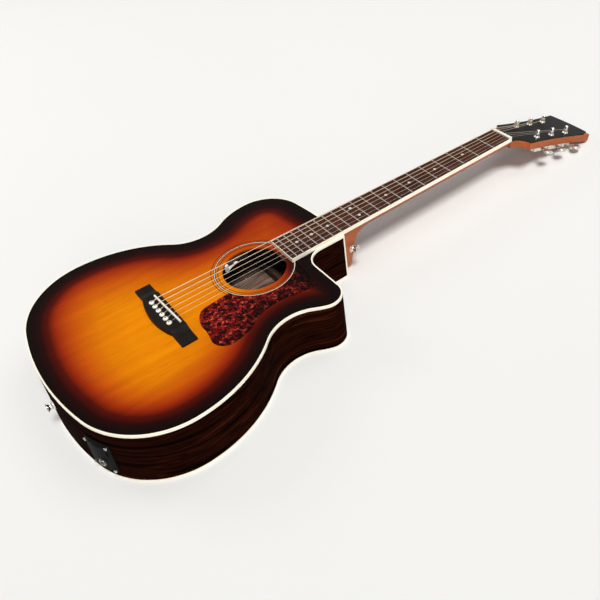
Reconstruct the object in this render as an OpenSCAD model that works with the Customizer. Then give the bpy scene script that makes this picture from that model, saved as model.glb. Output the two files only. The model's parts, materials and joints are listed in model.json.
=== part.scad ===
// Cutaway acoustic guitar with built-in pickup, lying on its back. All sizes are in millimetres.
// Parts are drawn with x from the nut to the tail, y to the treble side and z = 0 on the soundboard's
// face; place() then turns the whole guitar so that its tapered back lies flat on z = 0.

/* [Scale and fretboard] */
// string length from the nut to the saddle
scale_length = 647.7; // [600:0.1:670]
// number of frets
fret_count = 20; // [18:1:22]
// fret where the neck meets the body
join_fret = 14; // [12:1:14]
// fretboard width at the nut
nut_width = 44.5; // [41:0.5:52]
// fretboard width at the twelfth fret
twelfth_width = 54.6; // [50:0.2:62]
// fretboard thickness
board_thick = 6.5; // [5:0.1:8]
// fretboard left beyond the last fret
board_tail = 10; // [6:0.5:14]
// width of the binding along each side of the fretboard
board_binding = 1; // [0.8:0.1:2.4]
// height of a fret's crown
fret_height = 1; // [0.7:0.1:1.4]
// width of a fret's crown
fret_width = 2.4; // [1.8:0.1:3]
// thickness of a fret's tang
tang_thick = 0.6; // [0.4:0.1:0.8]
// depth of a fret's tang
tang_deep = 1.6; // [1:0.1:2.4]
// radius of the position dots
dot_radius = 2.5; // [2:0.1:3.5]
// thickness of the position dots
dot_thick = 1.2; // [0.8:0.1:2]
// nut thickness along the strings
nut_thick = 5; // [4:0.5:7]
// nut height above the neck
nut_height = 8.9; // [8:0.1:11]

/* [Body] */
// body length along the centre line
body_length = 488; // [440:1:520]
// width of the lower bout
lower_width = 391; // [350:1:420]
// width of the waist
waist_width = 246; // [220:1:300]
// width of the upper bout
upper_width = 298; // [260:1:320]
// widest place of the lower bout, ahead of the tail
lower_from_tail = 134; // [133:1:150]
// narrowest place of the waist, behind the neck end
waist_from_neck = 166; // [156:1:180]
// widest place of the upper bout, behind the neck end
upper_from_neck = 72; // [71:1:84]
// radius of the lower bout beside the tail
lower_radius = 125; // [100:1:132]
// radius of the waist
waist_radius = 70; // [50:1:90]
// radius of the shoulder beside the neck
shoulder_radius = 66; // [50:1:70]
// body depth at the neck end
neck_depth = 83; // [75:1:95]
// body depth at the tail
tail_depth = 97; // [85:1:120]
// soundboard thickness
top_thick = 3; // [2.4:0.1:4]
// back thickness
back_thick = 2.8; // [2:0.1:4]
// thickness of the sides and of the binding
side_thick = 2.2; // [1.6:0.1:3]
// height of the binding at the soundboard
top_binding_high = 4; // [3.5:0.5:8]
// height of the binding at the back
back_binding_high = 3; // [2.5:0.5:8]

/* [Cutaway] */
// depth of the cutaway from the neck end to its wall
cutaway_deep = 75; // [60:1:85]
// space left between fretboard and cutaway wall
cutaway_gap = 2.4; // [1:0.1:6]
// radius of the horn
horn_radius = 28; // [18:1:34]
// radius of the cutaway's inner corner
nook_radius = 29; // [18:1:36]
// width of the trim strip where the cutaway's side ends at the neck
strip_width = 2.4; // [1.5:0.1:4]

/* [Soundhole] */
// soundhole centre, behind the neck end
hole_from_neck = 146.5; // [145:0.5:158]
// soundhole radius
hole_radius = 48.5; // [44:0.5:52]
// depth of the rosette's inlay
rosette_deep = 1; // [0.6:0.1:1.6]
// inner and outer distance of each rosette ring from the soundhole's edge
rosette_rings = [[6.4, 7.4], [10.4, 14], [16.8, 17.8]];
// origin of the pickguard's outline, behind the neck end
guard_from_neck = 148; // [145:0.5:152]
// pickguard thickness
guard_thick = 0.9; // [0.5:0.1:1.6]

/* [Inside] */
// width of the lining strips
lining_wide = 6.8; // [4:0.2:10]
// height of the lining strips
lining_high = 15; // [10:0.5:18]
// width of a brace
brace_wide = 8; // [5:0.5:12]
// height of the soundboard braces
brace_high = 14; // [8:0.5:20]
// height of the back braces
back_brace_high = 15; // [8:0.5:20]
// length of the neck block
neck_block_long = 58; // [40:1:70]
// width of the neck block to the bass side
neck_block_half = 36; // [30:1:50]
// length of the tail block
tail_block_long = 22; // [15:1:30]
// width of the tail block
tail_block_wide = 64; // [50:1:90]
// angle of the crossed braces from the centre line
cross_angle = 49; // [45:1:54]
// bridge plate thickness
plate_thick = 2.5; // [1.8:0.1:4]
// front edge of the bridge plate, ahead of the pins
bridge_plate_ahead = 22; // [16:1:28]
// width of the bridge plate along the strings
bridge_plate_wide = 42; // [32:1:50]
// places of the back braces, as shares of the way from neck to tail
back_brace_at = [0.19, 0.38, 0.62, 0.84];
// slanted braces behind the bridge: share of the way from pins to tail, offset to the bass, length
tone_bars = [[0.34, 4, 150], [0.62, 10, 160]];
// turn of the slanted braces from the centre line
tone_turn = 62; // [50:1:75]

/* [Neck] */
// neck depth below the fretboard at the nut
neck_deep_nut = 15; // [12:0.5:20]
// neck depth below the fretboard where the heel begins
neck_deep_heel = 17; // [14:0.5:22]
// radius of the sweep from the neck into the heel
heel_sweep = 30; // [20:1:40]
// thickness of the heel at its foot
heel_foot = 16; // [12:1:30]
// tenon width
tenon_wide = 20; // [14:1:28]
// tenon length
tenon_long = 18; // [10:1:30]
// truss rod radius
rod_radius = 3; // [2:0.1:4]

/* [Headstock] */
// backward pitch of the headstock in degrees
head_pitch = 17; // [10:0.5:18]
// height of the headstock's face behind the nut
head_face = 2; // [0:0.1:4]
// headstock length
head_length = 182; // [160:1:190]
// half width at the shoulder
head_shoulder = 40.5; // [36:0.5:44]
// half width at the waist
head_waist = 39; // [34:0.5:42]
// half width at the end
head_end = 46; // [40:0.5:48]
// rise of the rounded end
head_crown = 3; // [0.5:0.5:6]
// radius of the curve beside the nut
head_curve = 22; // [16:1:24]
// thickness with the veneer
head_thick = 14.5; // [13:0.5:18]
// veneer thickness
veneer_thick = 1.5; // [0.8:0.1:2.5]

/* [Tuners] */
// place of the first pair of posts behind the nut
post_first = 62; // [50:0.5:70]
// spacing of the posts along the headstock
post_pitch = 36.8; // [32:0.2:42]
// half spacing of the first pair of posts
post_half = 24.2; // [20:0.2:28]
// growth of the half spacing from pair to pair
post_spread = 1.2; // [0:0.1:3]
// post radius
post_radius = 3; // [2.5:0.1:3.5]
// post height above the headstock
post_high = 12.5; // [10:0.5:16]
// radius of the bushing's collar
bushing_collar = 5.4; // [4.8:0.1:7]
// radius of the bushing's sleeve
bushing_sleeve = 4.6; // [4:0.1:5]
// height of the bushing's collar
bushing_high = 2; // [1:0.1:3]
// number of teeth on the post's wheel
wheel_teeth = 18; // [12:1:20]
// radius over the wheel's teeth
wheel_radius = 5.6; // [4.5:0.1:6.5]
// radius of the worm
worm_radius = 2.6; // [2:0.1:3.2]
// housing depth behind the headstock
housing_deep = 9; // [8:0.5:11]
// distance from the post to the button along the key
key_reach = 18.5; // [18:0.5:26]
// length of the button along the key
button_long = 14; // [10:0.5:18]
// radius of the button's outline
button_radius = 9; // [7:0.5:10]
// button thickness
button_thick = 6.5; // [4:0.5:8]

/* [Bridge] */
// front edge of the bridge, ahead of the saddle line
bridge_ahead = 5.2; // [4:0.2:8]
// width of the bridge's wings
bridge_wide = 25.4; // [22:0.2:34]
// length of the bridge
bridge_long = 150; // [130:1:180]
// bridge height
bridge_high = 8.5; // [7:0.1:10]
// thickness of the wings
wing_thick = 3.2; // [2:0.1:5]
// level end of each wing
wing_flat = 14; // [8:1:20]
// radius of the scoop between wing and middle
wing_scoop = 30; // [20:1:40]
// rounding of the bridge's corners
bridge_corner = 1.5; // [0.5:0.5:5]
// how far the belly swells behind the wings
belly_deep = 9.2; // [4:0.2:14]
// half length of the belly
belly_half = 46; // [38:1:56]
// row of pins behind the saddle line
pin_behind = 13.6; // [11:0.1:18]
// spacing of the pins and of the strings at the bridge
string_pitch = 10.96; // [10:0.02:11.5]
// saddle length
saddle_long = 74; // [68:1:80]
// saddle thickness
saddle_thick = 3; // [2:0.1:4]
// saddle height above the bridge
saddle_high = 3.4; // [2:0.1:5]
// depth of the saddle slot
saddle_slot = 6; // [4:0.5:7]
// extra length of the lowest string, and of the highest
saddle_back = [3.3, 0.7];
// radius of a pin's shaft
pin_radius = 2.6; // [2.2:0.1:3]
// radius of a pin's head
pin_head = 4; // [3.4:0.1:5]

/* [Strings] */
// string radii from low to high
string_radius = [0.67, 0.53, 0.41, 0.3, 0.2, 0.15];
// spacing of the strings at the nut
nut_pitch = 7.4; // [6.8:0.1:8.2]
// loops on each post from low to high
string_loops = [3, 3, 3, 3, 4, 4];
// clear space between loops
loop_gap = 0.5; // [0.42:0.02:1]
// height above the headstock where the strings leave their posts
leave_high = 4.6; // [4:0.1:6]

/* [Electrics] */
// place of the jack plate on the lower bout's arc, in degrees from the tail
plate_angle = 23; // [15:1:40]
// depth of the plate's middle below the soundboard
plate_down = 54; // [48:1:60]
// jack plate left beside the drawer's sleeve
plate_margin = 5.5; // [4:0.5:9]
// jack plate height
plate_high = 56; // [52:1:64]
// jack plate thickness
jack_plate_thick = 2.4; // [1.6:0.2:4]
// battery drawer width
drawer_wide = 29; // [28.6:0.2:34]
// battery drawer height
drawer_high = 19.4; // [19:0.2:24]
// battery drawer length behind the plate
drawer_long = 53; // [51:0.5:60]
// jack bore radius
jack_bore = 3.2; // [3:0.1:3.5]
// thumbwheel radius
wheel_size = 6.5; // [5:0.5:7]
// thumbwheel thickness
wheel_thick = 3.2; // [2:0.1:5]
// angles of the two thumbwheels round the soundhole
wheel_angles = [-88, -72];
// height of the control unit
unit_high = 12; // [11.5:0.5:14]
// reach of the control unit's floor inside the soundhole's edge
unit_lip = 3.5; // [2:0.5:5]
// thickness of that floor
unit_floor = 1.6; // [1:0.2:2]
// half angle of the control unit about its middle
unit_turn = 28.6; // [26:0.2:34]
// angles of the floor's far end and of the end cheek's inner face, about the middle
unit_ends = [-5, 22.6];

/* [Strap buttons] */
// radius of the outer rim
strap_rim = 7; // [6:0.5:9]
// radius of the waist
strap_waist = 4.2; // [3.5:0.1:5]
// length
strap_long = 9.5; // [8:0.5:15]
// washer thickness
washer_thick = 1.4; // [0.6:0.1:2]
// height of the tail's button below the soundboard
strap_down = 50; // [40:1:60]
// height of the heel's button below the soundboard
heel_button_down = 40; // [30:1:50]
// place of the heel's button ahead of the neck end
heel_button_ahead = 16; // [12:0.5:20]
// seat of the heel's button out from the centre line
heel_button_out = 21; // [19:0.5:22]
// turn of the heel's button from straight sideways
heel_button_turn = 30; // [0:1:60]

/* [Hidden] */
$fn = 96;
// clearance of turning parts in their bearings
run_gap = 0.05;
// clearance of parts set into pockets
set_gap = 0.03;
// space between moving parts that don't touch
free_gap = 0.35;
// reach of cutting shapes beyond the part they cut
over = 300;
string_count = len(string_radius);
// radii of screw holes: strap buttons, tuners, jack plate
strap_hole = 2;
tuner_hole = 1.3;
plate_hole = 1.3;
// a screw is this much thinner than its hole
screw_gap = 0.1;

function fret_x(n) = scale_length * (1 - pow(2, -n / 12));
function board_half(x) = (nut_width + (twelfth_width - nut_width) * x / fret_x(12)) / 2;
function toward(p, q) = (q - p) / norm(q - p);
function flip(p) = [p.x, -p.y];
function unit(v) = v / norm(v);
function mix(a, b, u) = a + (b - a) * u;

board_end = fret_x(fret_count) + board_tail;
body_start = fret_x(join_fret) - 2;
tail_x = body_start + body_length;
taper = atan((tail_depth - neck_depth) / body_length);

// circles of the body's outline, each tangent to the next
lower_half = lower_width / 2;
waist_half = waist_width / 2;
upper_half = upper_width / 2;
lower_x = tail_x - lower_from_tail;
waist_x = body_start + waist_from_neck;
upper_x = body_start + upper_from_neck;
function end_radius(reach, half, r) = (reach ^ 2 + (half - r) ^ 2 - r ^ 2) / (2 * (reach - r));
function radius_sum(run, rise) = (run ^ 2 + rise ^ 2) / (2 * rise);
tail_radius = end_radius(tail_x - lower_x, lower_half, lower_radius);
flank_radius = radius_sum(lower_x - waist_x, lower_half - waist_half) - waist_radius;
upper_radius = radius_sum(waist_x - upper_x, upper_half - waist_half) - waist_radius;
front_radius = end_radius(upper_x - body_start, upper_half, shoulder_radius);
tail_c = [tail_x - tail_radius, 0];
lower_c = [lower_x, lower_half - lower_radius];
flank_c = [lower_x, lower_half - flank_radius];
waist_c = [waist_x, waist_half + waist_radius];
upper_c = [upper_x, upper_half - upper_radius];
shoulder_c = [upper_x, upper_half - shoulder_radius];
front_c = [body_start + front_radius, 0];
lower_hub = [waist_x + 80, 0];
upper_hub = [upper_x + 10, 0];

// cutaway
cut_x = body_start + cutaway_deep;
cut_y = board_half(body_start) + cutaway_gap;
horn_x = cut_x + horn_radius;
horn_c = [horn_x, upper_c.y + sqrt((upper_radius - horn_radius) ^ 2 - (horn_x - upper_x) ^ 2)];
nook_c = [cut_x - nook_radius, cut_y + nook_radius];
strip_x = front_c.x - sqrt(front_radius ^ 2 - cut_y ^ 2) + 0.05;

hole_x = body_start + hole_from_neck;
cross_x = hole_x + (hole_radius + brace_wide / 2 + 8) / sin(cross_angle);

// string route
saddle_x = scale_length + (saddle_back[0] + saddle_back[1]) / 2;
saddle_turn = atan((saddle_back[0] - saddle_back[1]) / (string_pitch * (string_count - 1)));
pin_x = scale_length + pin_behind;
slot_floor = board_thick + fret_height + 0.35;
string_in_pin = 1.85;
pin_hole = pin_radius + 0.2;
saddle_top = bridge_high + saddle_high;
function rank(i) = i - (string_count - 1) / 2;
function saddle_at(y) = saddle_x - y * tan(saddle_turn);

// tuners: string i winds on the post at place post_at(i), bass posts first
function pair(i) = i < 3 ? i : string_count - 1 - i;
function side(i) = i < 3 ? 1 : -1;
function post_at(i) = [post_first + post_pitch * pair(i), side(i) * (post_half + post_spread * pair(i))];
function wind_radius(i) = post_radius + string_radius[i] + run_gap;
function loop_pitch(i) = 2 * string_radius[i] + loop_gap;
function nut_local(i) = [0, -rank(i) * nut_pitch];
function leave_turn(i) = let (d = nut_local(i) - post_at(i))
    atan2(d.y, d.x) + side(i) * acos(wind_radius(i) / norm(d));
worm_off = wheel_radius + worm_radius + free_gap;
wheel_thick_post = 3.6;
worm_z = -head_thick - 4;
post_pivot = 2;
key_tip = 1.5;
key_shaft = 2;
head_hole = 5;
housing_wall = 2.4;
housing_in = 8;
housing_out = 9;

// position in the whole guitar
lift = tail_depth * cos(taper) - tail_x * sin(taper);
x_high = (tail_x + washer_thick + strap_long) * cos(taper) + (strap_down + strap_rim) * sin(taper);
head_far = head_length + head_crown;
x_low = (-nut_thick - head_far * cos(head_pitch)) * cos(taper)
    - (head_face - head_far * sin(head_pitch)) * sin(taper);
module place() {
    translate([-(x_low + x_high) / 2, 0, lift]) rotate([0, -taper, 0]) children();
}
// frame of the headstock: x from the nut to its end, z out of its face
module head() {
    translate([-nut_thick, 0, head_face]) rotate([0, 0, 180]) rotate([0, head_pitch, 0]) children();
}
function head_point(p) = [
    -nut_thick - p.x * cos(head_pitch) - p.z * sin(head_pitch),
    -p.y,
    head_face - p.x * sin(head_pitch) + p.z * cos(head_pitch)
];
// frame of tuner i: z along the post, y outward along the key
module tuner(i) {
    head() translate([post_at(i).x, post_at(i).y, 0]) mirror([0, side(i) < 0 ? 1 : 0, 0]) children();
}
// frame of the jack plate: x outward, z up
module at_plate() {
    translate([lower_c.x, lower_c.y, -plate_down]) rotate([0, 0, plate_angle])
        translate([lower_radius, 0, 0]) children();
}
// frames of the two strap buttons: z outward
module at_tail_button() {
    translate([tail_x, 0, -strap_down]) rotate([0, 90, 0]) children();
}
heel_button_c = [body_start - heel_button_ahead, heel_button_out, -heel_button_down];
module at_heel_button() {
    translate(heel_button_c) rotate([0, 0, 90 + heel_button_turn]) rotate([0, 90, 0]) children();
}

// outline shapes
module wedge(hub, a, b, centre, r) {
    intersection() {
        translate(centre) circle(r, $fn = 720);
        polygon([hub, hub + 2.2 * (a - hub), hub + 2.2 * (b - hub)]);
    }
}
module round_body(t) {
    tail_pt = tail_c + (tail_radius - t) * toward(tail_c, lower_c);
    lower_pt = [lower_x, lower_half - t];
    flank_pt = flank_c + (flank_radius - t) * toward(flank_c, waist_c);
    rise_pt = upper_c + (upper_radius - t) * toward(upper_c, waist_c);
    upper_pt = [upper_x, upper_half - t];
    front_pt = front_c + (front_radius - t) * toward(front_c, shoulder_c);
    half = [tail_pt, lower_pt, flank_pt, rise_pt, upper_pt, front_pt];
    wedge(lower_hub, flip(tail_pt), tail_pt, tail_c, tail_radius - t);
    wedge(upper_hub, front_pt, flip(front_pt), front_c, front_radius - t);
    for (k = [0, 1]) mirror([0, k, 0]) {
        wedge(lower_hub, tail_pt, lower_pt, lower_c, lower_radius - t);
        wedge(lower_hub, lower_pt, flank_pt, flank_c, flank_radius - t);
        wedge(upper_hub, rise_pt, upper_pt, upper_c, upper_radius - t);
        wedge(upper_hub, upper_pt, front_pt, shoulder_c, shoulder_radius - t);
    }
    difference() {
        polygon(concat(half, [for (k = [len(half) - 1:-1:0]) flip(half[k])]));
        for (s = [1, -1]) translate([waist_c.x, s * waist_c.y]) circle(waist_radius + t, $fn = 360);
    }
}
module cutaway(t) {
    far = upper_width;
    horn_way = toward(upper_c, horn_c);
    polygon([
        [body_start - 60, cut_y - t], [nook_c.x, cut_y - t], nook_c,
        [cut_x + t, nook_c.y], [cut_x + t, far], [body_start - 60, far]
    ]);
    intersection() {
        translate(nook_c) circle(nook_radius + t);
        translate([nook_c.x, nook_c.y - far]) square(far);
    }
    difference() {
        polygon([horn_c, [body_start, horn_c.y], [body_start, far], horn_c + far * horn_way]);
        translate(horn_c) circle(horn_radius - t);
    }
}
module outline(t) {
    difference() {
        round_body(t);
        cutaway(t);
    }
}
module slab(z_low, z_high, t) {
    translate([0, 0, z_low]) linear_extrude(z_high - z_low) outline(t);
}
// everything lower than a height above the back's plane
module under_back(h) {
    translate([tail_x, 0, -tail_depth]) rotate([0, taper, 0])
        translate([-tail_x - over, -over, h - over]) cube([tail_x + 2 * over, 2 * over, over]);
}
// a ring along the outline between two insets
module ring(z_low, z_high, t_out, t_in) {
    difference() {
        slab(z_low, z_high, t_out);
        slab(z_low - 1, z_high + 1, t_in);
    }
}
// round-ended hole shapes
module drill(r, z_low, z_high) {
    translate([0, 0, z_low]) cylinder(r = r, h = z_high - z_low);
}
module soft_square(wide, long, r) {
    square([wide - 2 * r, long], center = true);
    square([wide, long - 2 * r], center = true);
    for (x = [-1, 1], y = [-1, 1]) translate([x * (wide / 2 - r), y * (long / 2 - r)]) circle(r);
}
// points on a circular arc from a to b that swells to the left by sag
function arc(a, b, sag, n = 10) = let (c = norm(b - a), r = (c * c / 4 + sag * sag) / (2 * abs(sag)),
    d = unit(b - a), left = [-d.y, d.x], s = sign(sag), m = (a + b) / 2 + left * (sag - s * r),
    half = asin(min(1, c / (2 * r))))
    [for (k = [0:n - 1]) let (w = -half + 2 * half * k / n) m + r * (d * sin(w) + left * s * cos(w))];
// one tube along a path of points, with a radius at each point and six or more sides
module tube(path, radii, up, sides) {
    last = len(path) - 1;
    rings = [for (k = [0:last])
        let (t = unit(path[min(k + 1, last)] - path[max(k - 1, 0)]), n = unit(cross(t, up)), b = cross(n, t))
        [for (s = [0:sides - 1]) let (w = 360 * s / sides)
            path[k] + radii[k] * (n * cos(w) + b * sin(w))]];
    faces = [for (k = [0:last - 1], s = [0:sides - 1])
        let (a = k * sides + s, c = k * sides + (s + 1) % sides)
        each [[a, c, c + sides], [a, c + sides, a + sides]]];
    caps = [[for (s = [sides - 1:-1:0]) s], [for (s = [0:sides - 1]) last * sides + s]];
    polyhedron([for (r = rings) each r], concat(faces, caps));
}

// body
module soundboard() {
    color("orange") place() difference() {
        slab(-top_thick, 0, side_thick);
        translate([hole_x, 0, 0]) {
            drill(hole_radius, -top_thick - 1, 1);
            for (r = rosette_rings) difference() {
                drill(hole_radius + r[1], -rosette_deep, 1);
                drill(hole_radius + r[0], -rosette_deep - 1, 2);
            }
        }
        pin_holes(-top_thick - 1, 1);
    }
}
module pin_holes(z_low, z_high) {
    for (i = [0:string_count - 1]) translate([pin_x, rank(i) * string_pitch, 0])
        drill(pin_hole, z_low, z_high);
}
module back() {
    color("saddlebrown") place() intersection() {
        slab(-tail_depth - 5, 0, side_thick);
        difference() {
            under_back(back_thick);
            under_back(0);
        }
    }
}
module both_sides() {
    difference() {
        ring(-tail_depth - 5, -top_binding_high, 0, side_thick);
        under_back(back_binding_high);
        strip_shape(5, 1);
        tenon(set_gap);
        at_plate() {
            sleeve_shape(set_gap);
            jack_hole(0);
            plate_screw_holes();
        }
        at_tail_button() drill(strap_hole, -20, 5);
    }
}
// the sides are bent from two strips that meet at the tail and beside the neck
module treble_half() {
    translate([strip_x + (side_thick + strip_width) / 2, 0, -over]) cube([tail_x + over, over, over]);
}
module bass_side() {
    color("sienna") place() difference() {
        both_sides();
        treble_half();
    }
}
module treble_side() {
    color("sienna") place() intersection() {
        both_sides();
        treble_half();
    }
}
module top_binding() {
    color("ivory") place() difference() {
        ring(-top_binding_high, 0, 0, side_thick);
        tenon(set_gap);
    }
}
module back_binding() {
    color("ivory") place() difference() {
        intersection() {
            ring(-tail_depth - 5, 0, 0, side_thick);
            under_back(back_binding_high);
        }
        under_back(0);
    }
}
// corner of the side where the cutaway ends, from a distance ahead of the trim strip
module strip_shape(ahead, beyond) {
    translate([strip_x - ahead, cut_y - side_thick, -tail_depth])
        cube([ahead + strip_width, side_thick + beyond, tail_depth - top_binding_high]);
}
module cutaway_strip() {
    color("ivory") place() difference() {
        strip_shape(0, 0);
        under_back(back_binding_high);
    }
}
module neck_block_shape(gap) {
    translate([body_start, -neck_block_half - gap, -tail_depth])
        cube([neck_block_long + gap, neck_block_half + cut_y + gap, tail_depth - top_thick]);
}
module tail_block_shape(gap) {
    translate([tail_x - tail_block_long - side_thick - gap, -tail_block_wide / 2 - gap, -tail_depth])
        cube([tail_block_long + over, tail_block_wide + 2 * gap, tail_depth - top_thick]);
}
module linings() {
    inner = side_thick + lining_wide;
    color("wheat") place() difference() {
        union() {
            ring(-top_thick - lining_high, -top_thick, side_thick, inner);
            intersection() {
                ring(-tail_depth - 5, -tail_depth / 2, side_thick, inner);
                under_back(back_thick + lining_high);
            }
        }
        under_back(back_thick);
        neck_block_shape(set_gap);
        tail_block_shape(set_gap);
        at_plate() plate_screw_holes();
    }
}
module neck_block() {
    color("peru") place() difference() {
        intersection() {
            neck_block_shape(0);
            slab(-tail_depth - 5, -top_thick, side_thick);
        }
        under_back(back_thick);
        tenon(set_gap);
        translate([body_start, 0, rod_z]) rotate([0, 90, 0]) drill(rod_radius - 0.1, 0, neck_block_long + 1);
    }
}
module tail_block() {
    color("peru") place() difference() {
        intersection() {
            tail_block_shape(0);
            slab(-tail_depth - 5, -top_thick, side_thick);
        }
        under_back(back_thick);
        at_tail_button() drill(strap_hole, -20, 5);
    }
}
// the two crossed braces are glued into one where they meet
module cross_leg(s, gap) {
    translate([cross_x, 0, -top_thick - brace_high]) rotate([0, 0, s * cross_angle])
        translate([-over, -brace_wide / 2 - gap, 0]) cube([2 * over, brace_wide + 2 * gap, brace_high]);
}
module bar(x, y, turn, long) {
    translate([x, y, -top_thick - brace_high + 2]) rotate([0, 0, turn])
        translate([-long / 2, -brace_wide / 2, 0]) cube([long, brace_wide, brace_high - 2]);
}
module top_braces() {
    inner = side_thick + lining_wide;
    color("burlywood") place() intersection() {
        slab(-top_thick - brace_high, -top_thick, inner);
        union() {
            cross_leg(1, 0);
            cross_leg(-1, 0);
            difference() {
                for (b = tone_bars) bar(mix(pin_x, tail_x, b[0]), -b[1], tone_turn, b[2]);
                bridge_plate_shape(set_gap);
                tail_block_shape(set_gap);
            }
            bar((cut_x + inner + hole_x - hole_radius) / 2, 0, 90, over);
        }
    }
}
module back_braces() {
    inner = side_thick + lining_wide;
    color("burlywood") place() intersection() {
        slab(-tail_depth - 5, 0, inner);
        difference() {
            under_back(back_thick + back_brace_high);
            under_back(back_thick);
        }
        for (u = back_brace_at)
            translate([mix(body_start, tail_x, u) - brace_wide / 2, -over, -over])
                cube([brace_wide, 2 * over, over]);
    }
}
module bridge_plate_shape(gap) {
    front = pin_x - bridge_plate_ahead;
    half = (front - cross_x) * tan(cross_angle) - brace_wide / 2 / cos(cross_angle) - 1;
    translate([front - gap, -half - gap, -top_thick - plate_thick - gap])
        cube([bridge_plate_wide + 2 * gap, 2 * half + 2 * gap, plate_thick + 2 * gap]);
}
module bridge_plate() {
    color("burlywood") place() difference() {
        bridge_plate_shape(0);
        pin_holes(-over, 1);
    }
}
module rosette() {
    color("black") place() translate([hole_x, 0, 0]) for (r = rosette_rings) difference() {
        drill(hole_radius + r[1], -rosette_deep, 0);
        drill(hole_radius + r[0], -rosette_deep - 1, 1);
    }
}
module pickguard() {
    guard_r = hole_radius + rosette_rings[1][1] + 0.2;
    // edge by the fretboard, round corner, long inner sweep, lower end and back to the rosette
    points = concat(
        arc([-57, 30.5], [-51, 84], 1),
        arc([-51, 84], [-37, 94], 4),
        arc([-37, 94], [0, 87.5], 0.4),
        arc([0, 87.5], [68, 105.5], -7.6),
        arc([68, 105.5], [106, 114.5], 1.6),
        arc([106, 114.5], [125, 88], 7.5),
        arc([125, 88], [121.5, 66], -0.7),
        arc([121.5, 66], [115, 38], 2.6),
        arc([115, 38], [92, 25.5], 4),
        arc([92, 25.5], [50, 23], 0.5)
    );
    color("darkred") place() linear_extrude(guard_thick) difference() {
        translate([body_start + guard_from_neck, 0]) polygon(points);
        translate([hole_x, 0]) circle(guard_r);
    }
}

// neck
rod_z = -top_thick - rod_radius - 0.1;
heel_x = body_start - heel_foot;
sweep_start = heel_x - heel_sweep - 10;
sweep_end = 75;
function station(x, deep) = [x, board_half(x), deep];
// width and depth of the neck from the nut to the body
neck_stations = concat(
    [station(-nut_thick - 12, neck_deep_nut - 1), station(0, neck_deep_nut)],
    [for (w = [0:7.5:sweep_end]) station(sweep_start + heel_sweep * sin(w),
        neck_deep_heel + heel_sweep * (1 - cos(w)))],
    let (x0 = sweep_start + heel_sweep * sin(sweep_end),
        d0 = neck_deep_heel + heel_sweep * (1 - cos(sweep_end)))
    [for (u = [0.25:0.25:1]) station(mix(x0, heel_x, u), mix(d0, neck_depth * 1.14, u))],
    [station(body_start + 6, neck_depth * 1.16)]
);
module neck_loft() {
    arcs = 20;
    count = len(neck_stations);
    rings = [for (s = neck_stations) each [for (k = [0:arcs])
        let (w = -90 + 180 * k / arcs) [s[0], s[1] * sin(w), -s[2] * cos(w)]]];
    row = arcs + 1;
    skin = [for (j = [0:count - 2], k = [0:arcs]) let (a = j * row + k, b = j * row + (k + 1) % row)
        each [[a, a + row, b + row], [a, b + row, b]]];
    ends = [[for (k = [0:arcs]) k], [for (k = [arcs:-1:0]) (count - 1) * row + k]];
    polyhedron(rings, concat(skin, ends));
}
module tenon(gap) {
    translate([body_start - 6, -tenon_wide / 2 - gap, -neck_depth + 14])
        cube([tenon_long + 6 + gap, tenon_wide + 2 * gap, neck_depth - 14 - top_thick]);
}
module head_outline() {
    neck_run = 8;
    shoulder = [head_curve + neck_run, head_shoulder];
    side_arc = arc(shoulder, [head_length, head_end], head_waist - (head_shoulder + head_end) / 2);
    end_arc = arc([head_length, head_end], [head_length, -head_end], head_crown);
    nut_half = board_half(0);
    difference() {
        polygon(concat([[0, nut_half], [neck_run, nut_half], [neck_run, head_shoulder]], side_arc, end_arc,
            [for (k = [len(side_arc) - 1:-1:0]) flip(side_arc[k])],
            [[neck_run, -head_shoulder], [neck_run, -nut_half], [0, -nut_half]]));
        for (s = [1, -1]) translate([neck_run, s * (nut_half + head_curve)]) circle(head_curve);
    }
}
module neck() {
    color("chocolate") place() difference() {
        union() {
            difference() {
                neck_loft();
                slab(-over, 1, 0);
                under_back(1);
                head() translate([0, -over, -veneer_thick]) cube(2 * over);
            }
            tenon(0);
            head() translate([0, 0, -head_thick]) linear_extrude(head_thick - veneer_thick) head_outline();
        }
        translate([fret_x(1), -rod_radius - set_gap, rod_z - rod_radius - set_gap])
            cube([body_start + tenon_long - fret_x(1) + 1, 2 * (rod_radius + set_gap), over]);
        for (i = [0:string_count - 1]) tuner(i) {
            drill(head_hole, -head_thick - 1, 1);
            translate([-ear_off, 0, 0]) drill(tuner_hole, -head_thick - 1, -head_thick + 7);
        }
        at_heel_button() {
            drill(strap_rim + 2, 0, 40);
            drill(strap_hole, -14, 1);
        }
    }
}
module headstock_veneer() {
    color("black") place() difference() {
        head() translate([0, 0, -veneer_thick]) linear_extrude(veneer_thick) head_outline();
        for (i = [0:string_count - 1]) tuner(i) drill(head_hole, -head_thick, 1);
    }
}
module truss_rod() {
    long = body_start + tenon_long - fret_x(1) - 14;
    color("silver") place() translate([fret_x(1) + 1, 0, rod_z]) rotate([0, 90, 0]) {
        drill(rod_radius, 0, long);
        drill(rod_radius - 0.6, 0, long + 10);
    }
}

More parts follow.
